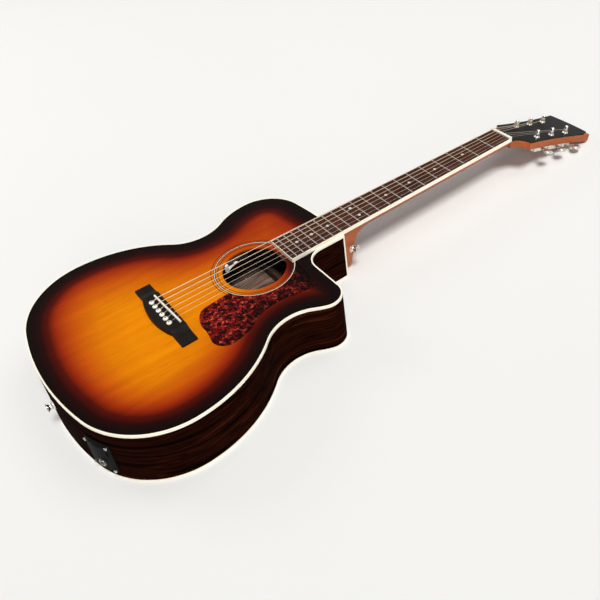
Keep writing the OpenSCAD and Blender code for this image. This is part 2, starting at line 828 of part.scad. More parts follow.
// fretboard
module board_shape(inset, x_low, x_high) {
    polygon([
        [x_low, inset - board_half(x_low)], [x_high, inset - board_half(x_high)],
        [x_high, board_half(x_high) - inset], [x_low, board_half(x_low) - inset]
    ]);
}
dot_frets = [3, 5, 7, 9, 15, 17, 19];
module dots(z_low, z_high) {
    for (n = dot_frets) if (n <= fret_count) translate([(fret_x(n) + fret_x(n - 1)) / 2, 0, 0])
        drill(dot_radius, z_low, z_high);
    for (s = [-1, 1]) translate([(fret_x(12) + fret_x(11)) / 2, s * twelfth_width / 4.6, 0])
        drill(dot_radius, z_low, z_high);
}
module tangs(gap) {
    for (n = [1:fret_count])
        translate([fret_x(n) - tang_thick / 2 - gap, -over, board_thick - tang_deep - gap])
        cube([tang_thick + 2 * gap, 2 * over, tang_deep + gap + 0.01]);
}
module fretboard() {
    color("saddlebrown") place() difference() {
        linear_extrude(board_thick) board_shape(board_binding, 0, board_end - board_binding);
        tangs(0);
        dots(board_thick - dot_thick, board_thick + 1);
    }
}
module fretboard_binding() {
    color("ivory") place() linear_extrude(board_thick) difference() {
        board_shape(0, 0, board_end);
        board_shape(board_binding, -1, board_end - board_binding);
    }
}
module frets() {
    crown_r = (fret_width ^ 2 / 4 + fret_height ^ 2) / (2 * fret_height);
    color("silver") place() for (n = [1:fret_count]) {
        x = fret_x(n);
        half = board_half(x) - 0.4;
        difference() {
            translate([x, half, board_thick + fret_height - crown_r]) rotate([90, 0, 0])
                cylinder(r = crown_r, h = 2 * half);
            translate([x - 5, -over, board_thick - 10]) cube([10, 2 * over, 10]);
        }
        inner = half - board_binding;
        translate([x - tang_thick / 2, -inner, board_thick - tang_deep])
            cube([tang_thick, 2 * inner, tang_deep + 0.05]);
    }
}
module position_dots() {
    color("white") place() dots(board_thick - dot_thick, board_thick);
}
module nut() {
    color("ivory") place() difference() {
        translate([-nut_thick, -nut_width / 2, 0]) cube([nut_thick, nut_width, nut_height]);
        for (i = [0:string_count - 1]) {
            r = string_radius[i] + set_gap;
            translate([0, rank(i) * nut_pitch, slot_floor + r]) {
                rotate([0, -90, 0]) drill(r, -1, nut_thick + 1);
                translate([-nut_thick - 1, -r, 0]) cube([nut_thick + 2, 2 * r, nut_height]);
            }
        }
        head() translate([0, -over, -head_thick]) cube([over, 2 * over, head_thick]);
    }
}

// bridge
module saddle_frame() {
    translate([saddle_x, 0, 0]) rotate([0, 0, saddle_turn]) children();
}
module bridge() {
    front = scale_length - bridge_ahead;
    belly_r = (belly_half ^ 2 + belly_deep ^ 2) / (2 * belly_deep);
    flat_at = bridge_long / 2 - wing_flat;
    color([0.1, 0.08, 0.07]) place() difference() {
        linear_extrude(bridge_high) {
            translate([front + bridge_wide / 2, 0]) soft_square(bridge_wide, bridge_long, bridge_corner);
            intersection() {
                translate([front + bridge_wide + belly_deep - belly_r, 0]) circle(belly_r, $fn = 180);
                translate([front + bridge_wide - 8, -bridge_long / 2]) square([40, bridge_long]);
            }
        }
        for (s = [1, -1]) {
            translate([front, s * flat_at, wing_thick + wing_scoop]) rotate([0, 90, 0])
                drill(wing_scoop, -over, over);
            translate([front - over, s > 0 ? flat_at : -flat_at - over, wing_thick])
                cube([2 * over, over, over]);
        }
        saddle_frame()
            translate([-saddle_thick / 2 - set_gap, -saddle_long / 2 - set_gap, bridge_high - saddle_slot])
            cube([saddle_thick + 2 * set_gap, saddle_long + 2 * set_gap, saddle_slot + 1]);
        pin_holes(-1, over);
    }
}
pickup_high = 1.2;
module saddle_pickup() {
    color("gray") place() saddle_frame()
        translate([-saddle_thick / 2, -saddle_long / 2, bridge_high - saddle_slot])
        cube([saddle_thick, saddle_long, pickup_high]);
}
module saddle() {
    color("ivory") place() saddle_frame() {
        translate([-saddle_thick / 2, -saddle_long / 2, bridge_high - saddle_slot + pickup_high])
            cube([saddle_thick, saddle_long, saddle_slot - pickup_high + saddle_high - saddle_thick / 2]);
        translate([0, saddle_long / 2, bridge_high + saddle_high - saddle_thick / 2]) rotate([90, 0, 0])
            cylinder(r = saddle_thick / 2, h = saddle_long);
    }
}
module bridge_pins() {
    pin_long = 20;
    dome_high = 3.2;
    dome_r = 5;
    color("ivory") place() for (i = [0:string_count - 1])
        translate([pin_x, rank(i) * string_pitch, bridge_high]) difference() {
            rotate_extrude() {
                polygon([
                    [0, -pin_long], [pin_radius - 0.4, -pin_long], [pin_radius, 0], [pin_radius, 1], [0, 1]
                ]);
                intersection() {
                    square([pin_head, dome_high]);
                    translate([0, dome_high - dome_r]) circle(dome_r);
                }
            }
            slot = string_radius[i] + 0.15;
            translate([-pin_head - 1, -slot, -pin_long - 1])
                cube([pin_head + 1 - string_in_pin + slot, 2 * slot, pin_long + 10]);
        }
}

// strings
function string_path(i) = let (
    r = string_radius[i], rest = r + set_gap, y0 = rank(i) * nut_pitch, y1 = rank(i) * string_pitch,
    w = leave_turn(i), p = post_at(i), rw = wind_radius(i),
    touch = p + rw * [cos(w), sin(w)],
    away = sqrt((norm([rw, 2 * r]) + 2 * r + free_gap) ^ 2 - rw ^ 2),
    stop = touch + away * toward(touch, nut_local(i)),
    post_end = head_point([stop.x, stop.y, leave_high]),
    nut_back = [-nut_thick, y0, slot_floor + rest], nut_front = [0, y0, slot_floor + rest],
    sx = saddle_at(y1), crest = [sx, y1, saddle_top + rest],
    px = pin_x - string_in_pin)
    [
        post_end, mix(post_end, nut_back, 0.96), nut_back, nut_front,
        mix(nut_front, crest, 0.01), mix(nut_front, crest, 0.998), crest,
        [mix(sx, px, 0.75), y1, mix(saddle_top, bridge_high, 0.62) + rest],
        [px - 0.3, y1, bridge_high + 0.9],
        [px, y1, bridge_high - 0.6], [px, y1, -top_thick - plate_thick - 0.1],
        [px - 0.8, y1, -top_thick - plate_thick - 1.7], [px - 1.5, y1, -top_thick - plate_thick - 2.2],
        [px - 2.1, y1, -top_thick - plate_thick - 2.5], [px - 3.3, y1, -top_thick - plate_thick - 2.5],
        [px - 3.9, y1, -top_thick - plate_thick - 2.5]
    ];
module strings() {
    color("goldenrod") place() for (i = [0:string_count - 1]) {
        path = string_path(i);
        plain = [for (k = [0:len(path) - 5]) string_radius[i]];
        tube(path, concat(plain, [1.2, 1.9, 1.9, 1.2]), [0, 1, 0], 8);
    }
}
// winding of string i in its tuner's frame: straight end, loops round the post, straight end
rings_per_loop = 24;
function wind_path(i) = let (
    r = string_radius[i], rw = wind_radius(i), w0 = leave_turn(i), sgn = side(i),
    loops = string_loops[i], rise = loop_pitch(i) / 360,
    at = function (a) [rw * cos(w0 + sgn * a), rw * sin(w0 + sgn * a), leave_high + rise * a],
    way = function (a) [-sgn * sin(w0 + sgn * a), sgn * cos(w0 + sgn * a), 0],
    total = 360 * loops)
    concat([at(0) - way(0) * 2 * r],
        [for (k = [0:loops * rings_per_loop]) at(k * 360 / rings_per_loop)],
        [at(total) + way(total) * 2 * r]);
function least_gap(path, r) = min([for (a = [0:len(path) - 1], b = [0:len(path) - 1])
    if (b - a > rings_per_loop / 2) norm(path[a] - path[b]) - 2 * r]);
for (i = [0:string_count - 1]) echo(winding = i, least_gap = least_gap(wind_path(i), string_radius[i]));
module winding(i) {
    path = wind_path(i);
    color("goldenrod") place() head() translate([post_at(i).x, post_at(i).y, 0])
        tube(path, [for (p = path) string_radius[i]], [0, 0, 1], 6);
}

// tuners
ear_off = 11;
ear_radius = 3.4;
module tuner_housings() {
    long = worm_off + worm_radius + housing_wall + 7.6;
    color("silver") place() for (i = [0:string_count - 1]) tuner(i) difference() {
        union() {
            translate([long / 2 - 7.6, (housing_out - housing_in) / 2, -head_thick - housing_deep])
                linear_extrude(housing_deep) soft_square(long, housing_in + housing_out, 3);
            translate([0, 0, -head_thick - 2]) {
                translate([-ear_off, 0, 0]) cylinder(r = ear_radius, h = 2);
                translate([-ear_off, -ear_radius, 0]) cube([ear_off, 2 * ear_radius, 2]);
            }
        }
        drill(wheel_radius + 0.4, worm_z - wheel_thick_post / 2 - 0.4, -head_thick + 1);
        drill(post_pivot + run_gap, -head_thick - housing_deep + 1.2, -head_thick);
        translate([worm_off, 0, worm_z]) rotate([-90, 0, 0]) {
            drill(worm_radius + 0.4, -housing_in + 3, housing_out - 3.6);
            drill(worm_radius + run_gap, 0, housing_out + 1);
            drill(key_tip + run_gap, -housing_in + 1.2, 0);
        }
        translate([-ear_off, 0, 0]) drill(tuner_hole, -head_thick - 5, -head_thick + 1);
    }
}
module tuner_bushings() {
    color("silver") place() for (i = [0:string_count - 1]) tuner(i) difference() {
        union() {
            cylinder(r1 = bushing_collar, r2 = bushing_collar - 0.8, h = bushing_high);
            drill(bushing_sleeve, -9, 0.5);
        }
        drill(post_radius + run_gap, -10, bushing_high + 1);
    }
}
module tuner_screws() {
    color("silver") place() for (i = [0:string_count - 1]) tuner(i)
        translate([-ear_off, 0, -head_thick]) difference() {
            union() {
                drill(tuner_hole - screw_gap, -2.5, 6);
                translate([0, 0, -3.4]) cylinder(r1 = 1.6, r2 = 2.3, h = 1.4);
            }
            for (w = [0, 90]) rotate([0, 0, w]) translate([-1.1, -0.25, -3.6]) cube([2.2, 0.5, 1]);
        }
}
module tuner_post(i) {
    tooth = 360 / wheel_teeth;
    root = wheel_radius - 0.9;
    profile = [[0, root], [0.3, wheel_radius], [0.55, wheel_radius], [0.85, root]];
    color("silver") place() tuner(i) difference() {
        union() {
            drill(post_radius, worm_z - wheel_thick_post / 2, post_high - 1);
            translate([0, 0, post_high - 1]) cylinder(r1 = post_radius, r2 = post_radius - 0.8, h = 1);
            drill(post_pivot, -head_thick - housing_deep + 1.5, worm_z);
            translate([0, 0, worm_z - wheel_thick_post / 2]) linear_extrude(wheel_thick_post)
                polygon([for (k = [0:wheel_teeth - 1], q = profile)
                    q[1] * [cos((k + q[0]) * tooth), sin((k + q[0]) * tooth)]]);
        }
        translate([0, 0, post_high - 2.2]) rotate([90, 0, 0]) drill(0.9, -5, 5);
    }
}
module tuner_key(i) {
    groove = 0.6;
    color("silver") place() tuner(i) translate([worm_off, 0, worm_z]) rotate([-90, 0, 0]) {
        difference() {
            drill(worm_radius, -housing_in + 3.5, housing_out + 1);
            for (z = [-3:1.6:3.4]) translate([0, 0, z]) difference() {
                drill(worm_radius + 1, 0, 0.8);
                drill(worm_radius - groove, -1, 2);
            }
        }
        drill(key_tip, -housing_in + 1.5, 0);
        drill(key_shaft, 0, key_reach + 2);
        translate([0, 0, key_reach + button_long / 2]) intersection() {
            translate([0, button_thick / 2, 0]) rotate([90, 0, 0]) linear_extrude(button_thick)
                intersection() {
                    circle(button_radius);
                    square([3 * button_radius, button_long], center = true);
                }
            sphere(button_radius - 0.2);
        }
    }
}

// strap buttons
module strap_pair() {
    place() at_tail_button() children();
    place() at_heel_button() children();
}
module strap_washers() {
    color("white") strap_pair() difference() {
        drill(strap_rim, 0, washer_thick);
        drill(strap_hole, -1, 5);
    }
}
module strap_buttons() {
    top = washer_thick + strap_long;
    color("silver") strap_pair() difference() {
        rotate_extrude() difference() {
            translate([0, washer_thick]) square([strap_rim, strap_long]);
            translate([strap_rim + 1.6, washer_thick + strap_long * 0.46])
                circle(strap_rim + 1.6 - strap_waist);
        }
        drill(strap_hole, 0, top + 1);
        translate([0, 0, top - 2.4]) cylinder(r1 = strap_hole, r2 = strap_hole + 2, h = 2.41);
    }
}
module strap_screws() {
    top = washer_thick + strap_long;
    color("silver") strap_pair() difference() {
        union() {
            drill(strap_hole - screw_gap, -12, top - 2);
            translate([0, 0, top - 2.3]) cylinder(r1 = strap_hole - screw_gap, r2 = 3.6, h = 2.1);
        }
        for (w = [0, 90]) rotate([0, 0, w]) translate([-2, -0.4, top - 1.2]) cube([4, 0.8, 2]);
    }
}

// jack plate, battery drawer and jack
sleeve_gap = 0.5;
sleeve_wall = 1.5;
drawer_z = 13.5;
jack_z = -14;
jack_neck = 5;
sleeve_wide = drawer_wide + 2 * (sleeve_gap + sleeve_wall);
sleeve_high = drawer_high + 2 * (sleeve_gap + sleeve_wall);
plate_wide = sleeve_wide + 2 * plate_margin;
screw_y = plate_wide / 2 - 4;
screw_z = plate_high / 2 - 4;
module box(x_low, x_high, wide, high, z) {
    translate([x_low, -wide / 2, z - high / 2]) cube([x_high - x_low, wide, high]);
}
// a curved skin outside the lower bout between two heights above its side
module skin(low, high, tall) {
    translate([-lower_radius, 0, -tall]) difference() {
        cylinder(r = lower_radius + high, h = 2 * tall, $fn = 180);
        translate([0, 0, -1]) cylinder(r = lower_radius + low, h = 2 * tall + 2, $fn = 180);
    }
}
module sleeve_shape(gap) {
    box(-drawer_long - 4 - gap, 6, sleeve_wide + 2 * gap, sleeve_high + 2 * gap, drawer_z);
}
module jack_hole(gap) {
    translate([0, 0, jack_z]) rotate([0, 90, 0]) drill(jack_neck + gap, -40, 20);
}
module plate_screw_holes() {
    for (y = [-1, 1], z = [-1, 1]) translate([0, y * screw_y, z * screw_z]) rotate([0, 90, 0])
        drill(plate_hole, -20, 20);
}
module jack_plate() {
    color([0.05, 0.05, 0.05]) place() at_plate() difference() {
        union() {
            intersection() {
                skin(0, jack_plate_thick, plate_high);
                translate([-20, 0, 0]) rotate([0, 90, 0]) linear_extrude(40)
                    soft_square(plate_high, plate_wide, 4);
            }
            intersection() {
                box(-drawer_long - 4, 5, sleeve_wide, sleeve_high, drawer_z);
                translate([-lower_radius, 0, -over])
                    cylinder(r = lower_radius + 0.5, h = 2 * over, $fn = 180);
            }
        }
        box(-drawer_long - 2, 20, drawer_wide + 2 * sleeve_gap, drawer_high + 2 * sleeve_gap, drawer_z);
        jack_hole(0);
        plate_screw_holes();
    }
}
module battery_drawer() {
    wall = 1;
    face = jack_plate_thick + 1;
    grip = 3;
    color([0.08, 0.08, 0.08]) place() at_plate() difference() {
        intersection() {
            box(-drawer_long, 10, drawer_wide, drawer_high, drawer_z);
            translate([-lower_radius, 0, -over]) cylinder(r = lower_radius + face, h = 2 * over, $fn = 180);
        }
        box(-drawer_long + wall, -2.5, drawer_wide - 2 * wall, drawer_high, drawer_z + wall);
        translate([face, drawer_wide / 4, drawer_z + drawer_high / 2 - grip]) rotate([90, 0, 0])
            cylinder(r = grip / 2, h = drawer_wide / 2);
    }
}
module battery() {
    color("silver") place() at_plate() translate([0, 0, drawer_z + 1 - drawer_high / 2])
        box(-drawer_long + 1.2, -drawer_long + 49.2, 26.4, 17.4, 8.7);
}
module jack_socket() {
    color("silver") place() at_plate() translate([0, 0, jack_z]) rotate([0, 90, 0]) difference() {
        union() {
            drill(jack_neck - screw_gap, -26, jack_plate_thick + 1);
            translate([0, 0, jack_plate_thick]) rotate([0, 0, 30]) cylinder(r = 7, h = 2, $fn = 6);
            drill(5.6, jack_plate_thick + 1.5, jack_plate_thick + 3);
        }
        drill(jack_bore, -24, 20);
    }
}
module plate_screws() {
    color("silver") place() at_plate() for (y = [-1, 1], z = [-1, 1])
        translate([0, y * screw_y, z * screw_z]) rotate([0, 90, 0]) {
            drill(plate_hole - screw_gap, -6, jack_plate_thick + 1);
            difference() {
                drill(2.5, jack_plate_thick, jack_plate_thick + 1.3);
                for (w = [0, 90]) rotate([0, 0, w])
                    translate([-1.2, -0.3, jack_plate_thick + 0.7]) cube([2.4, 0.6, 2]);
            }
        }
}

// soundhole control unit
wheel_ring = hole_radius + 3;
unit_z = -top_thick;
module at_wheel(k) {
    translate([hole_x, 0, 0]) rotate([0, 0, wheel_angles[k]]) translate([wheel_ring, 0, 0]) children();
}
wheel_low = unit_z - 3.4 - wheel_thick;
wheel_pin = 2;
unit_base = unit_z - unit_high;
// wedge of a ring about the soundhole, between two radii, two angles and two heights
module ring_part(inner, outer, turns, low, high) {
    intersection() {
        difference() {
            drill(outer, low, high);
            drill(inner, low - 1, high + 1);
        }
        translate([0, 0, low - 1]) linear_extrude(high - low + 2)
            polygon(concat([[0, 0]], [for (w = turns) 2 * outer * [cos(w), sin(w)]]));
    }
}
module control_unit() {
    ends = [unit_ends[0], unit_turn];
    cheek = [unit_ends[1], unit_turn];
    color([0.06, 0.06, 0.06]) place() difference() {
        translate([hole_x, 0, 0]) rotate([0, 0, (wheel_angles[0] + wheel_angles[1]) / 2]) {
            ring_part(hole_radius + 1, hole_radius + 14, [-unit_turn, unit_turn], unit_base, unit_z);
            // floor and end cheek that show inside the soundhole's edge
            ring_part(hole_radius - unit_lip, hole_radius + 2, ends, unit_base, unit_base + unit_floor);
            ring_part(hole_radius - unit_lip, hole_radius + 2, cheek, unit_base, unit_z);
        }
        for (k = [0, 1]) at_wheel(k) {
            drill(wheel_size + free_gap, wheel_low - free_gap, wheel_low + wheel_thick + free_gap);
            drill(wheel_pin + run_gap, unit_z - 10, unit_z - 2);
        }
        for (s = [1, -1]) cross_leg(s, set_gap);
    }
}
module thumbwheel(k) {
    color("dimgray") place() at_wheel(k) difference() {
        union() {
            drill(wheel_size, wheel_low, wheel_low + wheel_thick);
            drill(wheel_pin, unit_z - 9.7, unit_z - 2.3);
        }
        for (w = [0:15:345]) rotate([0, 0, w]) translate([wheel_size, 0, 0])
            drill(0.5, wheel_low - 1, unit_z);
    }
}

soundboard();
back();
bass_side();
treble_side();
top_binding();
back_binding();
cutaway_strip();
linings();
neck_block();
tail_block();
top_braces();
back_braces();
bridge_plate();
rosette();
pickguard();
neck();
headstock_veneer();
truss_rod();
fretboard();
fretboard_binding();
frets();
position_dots();
nut();
bridge();
saddle_pickup();
saddle();
bridge_pins();
strings();
tuner_housings();
tuner_bushings();
tuner_screws();
strap_washers();
strap_buttons();
strap_screws();
jack_plate();
battery_drawer();
battery();
jack_socket();
plate_screws();
control_unit();
thumbwheel(0);  // volume_wheel
thumbwheel(1);  // tone_wheel
winding(0);  // winding_1
winding(1);  // winding_2
winding(2);  // winding_3
winding(3);  // winding_4
winding(4);  // winding_5
winding(5);  // winding_6
tuner_post(0);  // tuner_post_1
tuner_post(1);  // tuner_post_2
tuner_post(2);  // tuner_post_3
tuner_post(3);  // tuner_post_4
tuner_post(4);  // tuner_post_5
tuner_post(5);  // tuner_post_6
tuner_key(0);  // tuner_key_1
tuner_key(1);  // tuner_key_2
tuner_key(2);  // tuner_key_3
tuner_key(3);  // tuner_key_4
tuner_key(4);  // tuner_key_5
tuner_key(5);  // tuner_key_6
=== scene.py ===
"""Surfaces, finishes, light and camera for a cutaway acoustic guitar that lies on its back."""

import json
import math
from types import SimpleNamespace

import bpy
import numpy as np
from bpy.props import (
    FloatProperty, FloatVectorProperty, IntProperty, IntVectorProperty, PointerProperty,
)
from mathutils import Matrix, Vector


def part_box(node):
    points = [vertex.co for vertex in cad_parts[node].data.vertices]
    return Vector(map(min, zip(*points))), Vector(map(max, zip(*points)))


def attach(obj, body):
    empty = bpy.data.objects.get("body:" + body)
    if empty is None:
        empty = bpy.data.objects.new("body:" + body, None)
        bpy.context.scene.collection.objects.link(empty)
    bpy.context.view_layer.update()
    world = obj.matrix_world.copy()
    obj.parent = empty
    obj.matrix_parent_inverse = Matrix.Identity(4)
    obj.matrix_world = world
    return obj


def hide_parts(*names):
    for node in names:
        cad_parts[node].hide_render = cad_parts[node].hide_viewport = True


bl_info = {
    "name": "Cutaway guitar",
    "version": (1, 0, 0),
    "blender": (4, 5, 0),
    "location": "View3D > Sidebar > Guitar",
    "description": "Surfaces, finishes and stage for a cutaway acoustic guitar",
    "category": "Object",
}

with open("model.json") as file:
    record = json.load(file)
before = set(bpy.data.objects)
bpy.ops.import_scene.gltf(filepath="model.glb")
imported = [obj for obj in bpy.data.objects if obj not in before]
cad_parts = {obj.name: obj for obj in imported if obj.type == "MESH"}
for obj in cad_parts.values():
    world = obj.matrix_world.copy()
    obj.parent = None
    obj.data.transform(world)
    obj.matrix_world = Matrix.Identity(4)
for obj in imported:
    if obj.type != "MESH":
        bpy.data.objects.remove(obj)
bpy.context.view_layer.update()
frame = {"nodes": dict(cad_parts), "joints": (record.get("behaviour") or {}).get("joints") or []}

QUARTER = math.pi / 2
TURN = 2 * math.pi
STRINGS = 6
WOUND_STRINGS = 4
HAND_MARKS = 0.02


# sizes and colours that a user may change

def length(name, text, mm):
    """A length whose default is written in millimetres and kept in metres."""
    return FloatProperty(name=name, description=text, default=mm / 1000, precision=5, unit="LENGTH")


def turn(name, text, degrees):
    """An angle whose default is written in degrees and kept in radians."""
    return FloatProperty(name=name, description=text, default=math.radians(degrees), unit="ROTATION")


def colour(name, text, rgb):
    """A linear colour."""
    return FloatVectorProperty(name=name, description=text, default=rgb, min=0, max=1, subtype="COLOR")


class BodySizes(bpy.types.PropertyGroup):
    """Sizes of the body that the new surfaces share with the solid model."""

    body_length: length("Length", "Body length along the centre line", 488)
    lower_width: length("Lower bout", "Width of the lower bout", 391)
    waist_width: length("Waist", "Width of the waist", 246)
    upper_width: length("Upper bout", "Width of the upper bout", 298)
    lower_at: length("Lower bout place", "Widest place of the lower bout from the neck end", 354)
    waist_at: length("Waist place", "Narrowest place of the waist from the neck end", 166)
    upper_at: length("Upper bout place", "Widest place of the upper bout from the neck end", 72)
    lower_radius: length("Lower radius", "Radius of the lower bout beside the tail", 125)
    waist_radius: length("Waist radius", "Radius of the waist", 70)
    shoulder_radius: length("Shoulder radius", "Radius of the shoulder beside the neck", 66)
    neck_depth: length("Depth at the neck", "Body depth at the neck end", 83)
    tail_depth: length("Depth at the tail", "Body depth at the tail", 97)
    top_thick: length("Soundboard", "Soundboard thickness", 3)
    side_thick: length("Sides", "Thickness of sides and binding", 2.2)
    cutaway_deep: length("Cutaway depth", "From the neck end to the cutaway's wall", 75)
    cutaway_gap: length("Cutaway gap", "Between fretboard and cutaway wall", 2.4)
    horn_radius: length("Horn radius", "Radius of the horn", 28)
    nook_radius: length("Nook radius", "Radius of the cutaway's inner corner", 29)
    hole_at: length("Soundhole place", "Soundhole centre from the neck end", 146.5)
    hole_radius: length("Soundhole radius", "Radius of the soundhole", 48.5)
    ring_deep: length("Rosette depth", "Depth of the rosette's channels", 1)
    ring_edges: FloatVectorProperty(
        name="Rosette rings", description="Inner and outer distance of each ring from the soundhole's edge",
        size=6, unit="LENGTH", precision=5, default=(0.0064, 0.0074, 0.0104, 0.0140, 0.0168, 0.0178))


class NeckSizes(bpy.types.PropertyGroup):
    """Sizes of neck and headstock."""

    scale_length: length("String length", "String length from the nut to the saddle", 647.7)
    join_fret: IntProperty(name="Joining fret", description="Fret where the neck meets the body", default=14)
    nut_width: length("Width at the nut", "Fretboard width at the nut", 44.5)
    twelfth_width: length("Width at the twelfth fret", "Fretboard width at the twelfth fret", 54.6)
    board_thick: length("Fretboard", "Fretboard thickness", 6.5)
    fret_height: length("Fret", "Height of a fret's crown", 1)
    nut_thick: length("Nut", "Nut thickness along the strings", 5)
    nut_height: length("Nut height", "Nut height above the neck", 8.9)
    deep_nut: length("Depth at the nut", "Neck depth below the fretboard", 15)
    deep_heel: length("Depth at the heel", "Neck depth where the heel begins", 17)
    heel_sweep: length("Heel sweep", "Radius of the sweep into the heel", 30)
    heel_foot: length("Heel foot", "Thickness of the heel at its foot", 16)
    head_pitch: turn("Pitch", "Backward pitch of the headstock", 17)
    head_face: length("Face height", "Height of the headstock's face behind the nut", 2)
    head_length: length("Headstock", "Headstock length", 182)
    head_shoulder: length("Shoulder", "Half width of the headstock at its shoulder", 40.5)
    head_waist: length("Waist", "Half width of the headstock at its waist", 39)
    head_end: length("End", "Half width of the headstock at its end", 46)
    head_crown: length("Crown", "Rise of the headstock's rounded end", 3)
    head_curve: length("Curve", "Radius of the curve beside the nut", 22)
    head_thick: length("Thickness", "Headstock thickness with the veneer", 14.5)
    veneer_thick: length("Veneer", "Veneer thickness", 1.5)
    button_down: length("Heel button", "Height of the heel's button below the soundboard", 40)
    button_turn: turn("Heel button turn", "Turn of the heel's button from straight sideways", 30)


class TunerSizes(bpy.types.PropertyGroup):
    """Sizes of the tuners and of the strings wound on them."""

    post_first: length("First posts", "Place of the first pair of posts behind the nut", 62)
    post_pitch: length("Post spacing", "Spacing of the posts along the headstock", 36.8)
    post_half: length("Half spacing", "Half spacing of the first pair of posts", 24.2)
    post_spread: length("Spread", "Growth of the half spacing from pair to pair", 1.2)
    post_radius: length("Post", "Post radius", 3)
    worm_off: length("Key place", "Distance of the key's axis from the post", 8.55)
    worm_drop: length("Key drop", "Key's axis below the headstock's back", 4)
    housing_out: length("Housing", "Outer face of the housing from the post", 9)
    key_reach: length("Key reach", "From the post to the button", 18.5)
    button_long: length("Button length", "Button length along the key", 14)
    button_radius: length("Button radius", "Half width of the button", 8.8)
    button_thick: length("Button thickness", "Button thickness", 6.5)
    nut_pitch: length("Strings at the nut", "Spacing of the strings at the nut", 7.4)
    string_pitch: length("Strings at the bridge", "Spacing of strings and pins", 10.96)
    leave_high: length("Winding height", "Where strings leave their posts", 4.6)
    loop_gap: length("Loop gap", "Clear space between loops", 0.5)
    string_radius: FloatVectorProperty(
        name="String radii", description="Radii of the strings from low to high", size=STRINGS, unit="LENGTH",
        default=(0.00067, 0.00053, 0.00041, 0.0003, 0.0002, 0.00015))
    string_loops: IntVectorProperty(
        name="Loops", description="Loops on each post from low to high", size=STRINGS,
        default=(3, 3, 3, 3, 4, 4))


class BridgeSizes(bpy.types.PropertyGroup):
    """Sizes of the bridge."""

    ahead: length("Front edge", "Front edge ahead of the saddle line", 5.2)
    wide: length("Width", "Width of the bridge at its wings", 25.4)
    long: length("Length", "Length of the bridge", 150)
    high: length("Height", "Height of the bridge", 8.5)
    wing: length("Wings", "Thickness of the wings", 3.2)
    belly_deep: length("Belly", "Swell behind the wings", 9.2)
    belly_half: length("Belly half length", "Half length of the belly", 46)
    wing_flat: length("Wing end", "Level end of each wing", 14)
    scoop: length("Scoop", "Radius between wing and middle", 30)
    corner: length("Corner", "Rounding of the corners", 1.5)
    edge: length("Edge", "Rounding of the edges", 0.9)
    pin_behind: length("Pins", "Row of pins behind the saddle line", 13.6)
    saddle_high: length("Saddle", "Saddle height above the bridge", 3.4)
    plate_thick: length("Bridge plate", "Thickness of the plate under the soundboard", 2.5)


class Finishes(bpy.types.PropertyGroup):
    """Main colours."""

    burst_rim: colour("Burst rim", "Darkest shade at the edge of the soundboard", (0.004, 0.0012, 0.0008))
    burst_dark: colour("Burst dark", "Shade inside the rim", (0.015, 0.0012, 0.0006))
    burst_wine: colour("Burst wine", "First red of the burst", (0.078, 0.0042, 0.001))
    burst_red: colour("Burst red", "Red half-way to the middle", (0.30, 0.025, 0.003))
    burst_orange: colour("Burst orange", "Orange after the red", (0.515, 0.088, 0.002))
    burst_amber: colour("Burst amber", "Amber round the middle", (0.675, 0.196, 0.001))
    burst_middle: colour("Burst middle", "Brightest shade in the middle", (0.765, 0.252, 0.001))
    dark_wood: colour("Dark wood", "Ground of sides and back", (0.0014, 0.0005, 0.0003))
    dark_streak: colour("Streaks", "Streaks in sides and back", (0.046, 0.0085, 0.0034))
    bare_back: colour("Bare back", "Unpolished inside of the back", (0.205, 0.128, 0.098))
    bare_spruce: colour("Bare spruce", "Braces of the soundboard", (0.56, 0.38, 0.20))
    # The back's braces are darkened as painted shade: inside the body they stand in shadow.
    shaded_braces: colour("Shaded braces", "Braces of the back", (0.085, 0.048, 0.032))
    bare_blocks: colour("Bare blocks", "Blocks and linings", (0.42, 0.22, 0.11))
    ivory: colour("Binding", "Binding, strip and fretboard edge", (0.96, 0.905, 0.785))
    mahogany: colour("Neck", "Neck wood", (0.375, 0.093, 0.026))
    board: colour("Fretboard", "Fretboard wood", (0.058, 0.022, 0.014))
    black: colour("Black", "Bridge and headstock face", (0.010, 0.008, 0.007))
    nickel: colour("Nickel", "Plated metal", (0.72, 0.69, 0.63))
    steel: colour("Steel", "Screws and truss rod", (0.62, 0.61, 0.59))
    fret_wire: colour("Fret wire", "Frets and jack", (0.34, 0.30, 0.27))
    bronze_wire: colour("Bronze wire", "Wound strings", (0.62, 0.50, 0.37))
    plain_wire: colour("Plain wire", "Unwound strings", (0.58, 0.55, 0.51))
    bone: colour("Bone", "Nut and saddle", (0.86, 0.83, 0.74))
    tortoise: colour("Flecks", "Red flecks of the pickguard", (0.215, 0.009, 0.008))
    moulded: colour("Moulded plastic", "Jack plate and battery drawer", (0.005, 0.005, 0.0054))
    wheels: colour("Wheels", "Control wheels", (0.05, 0.05, 0.052))
    washers: colour("Washers", "Washers of the strap buttons", (0.80, 0.80, 0.77))
    floor: colour("Floor", "Floor of the stage", (0.80, 0.80, 0.79))


def own(name):
    """One of the scene's groups of sizes or colours."""
    return getattr(bpy.context.scene, f"guitar_{name}")


# places worked out from the sizes

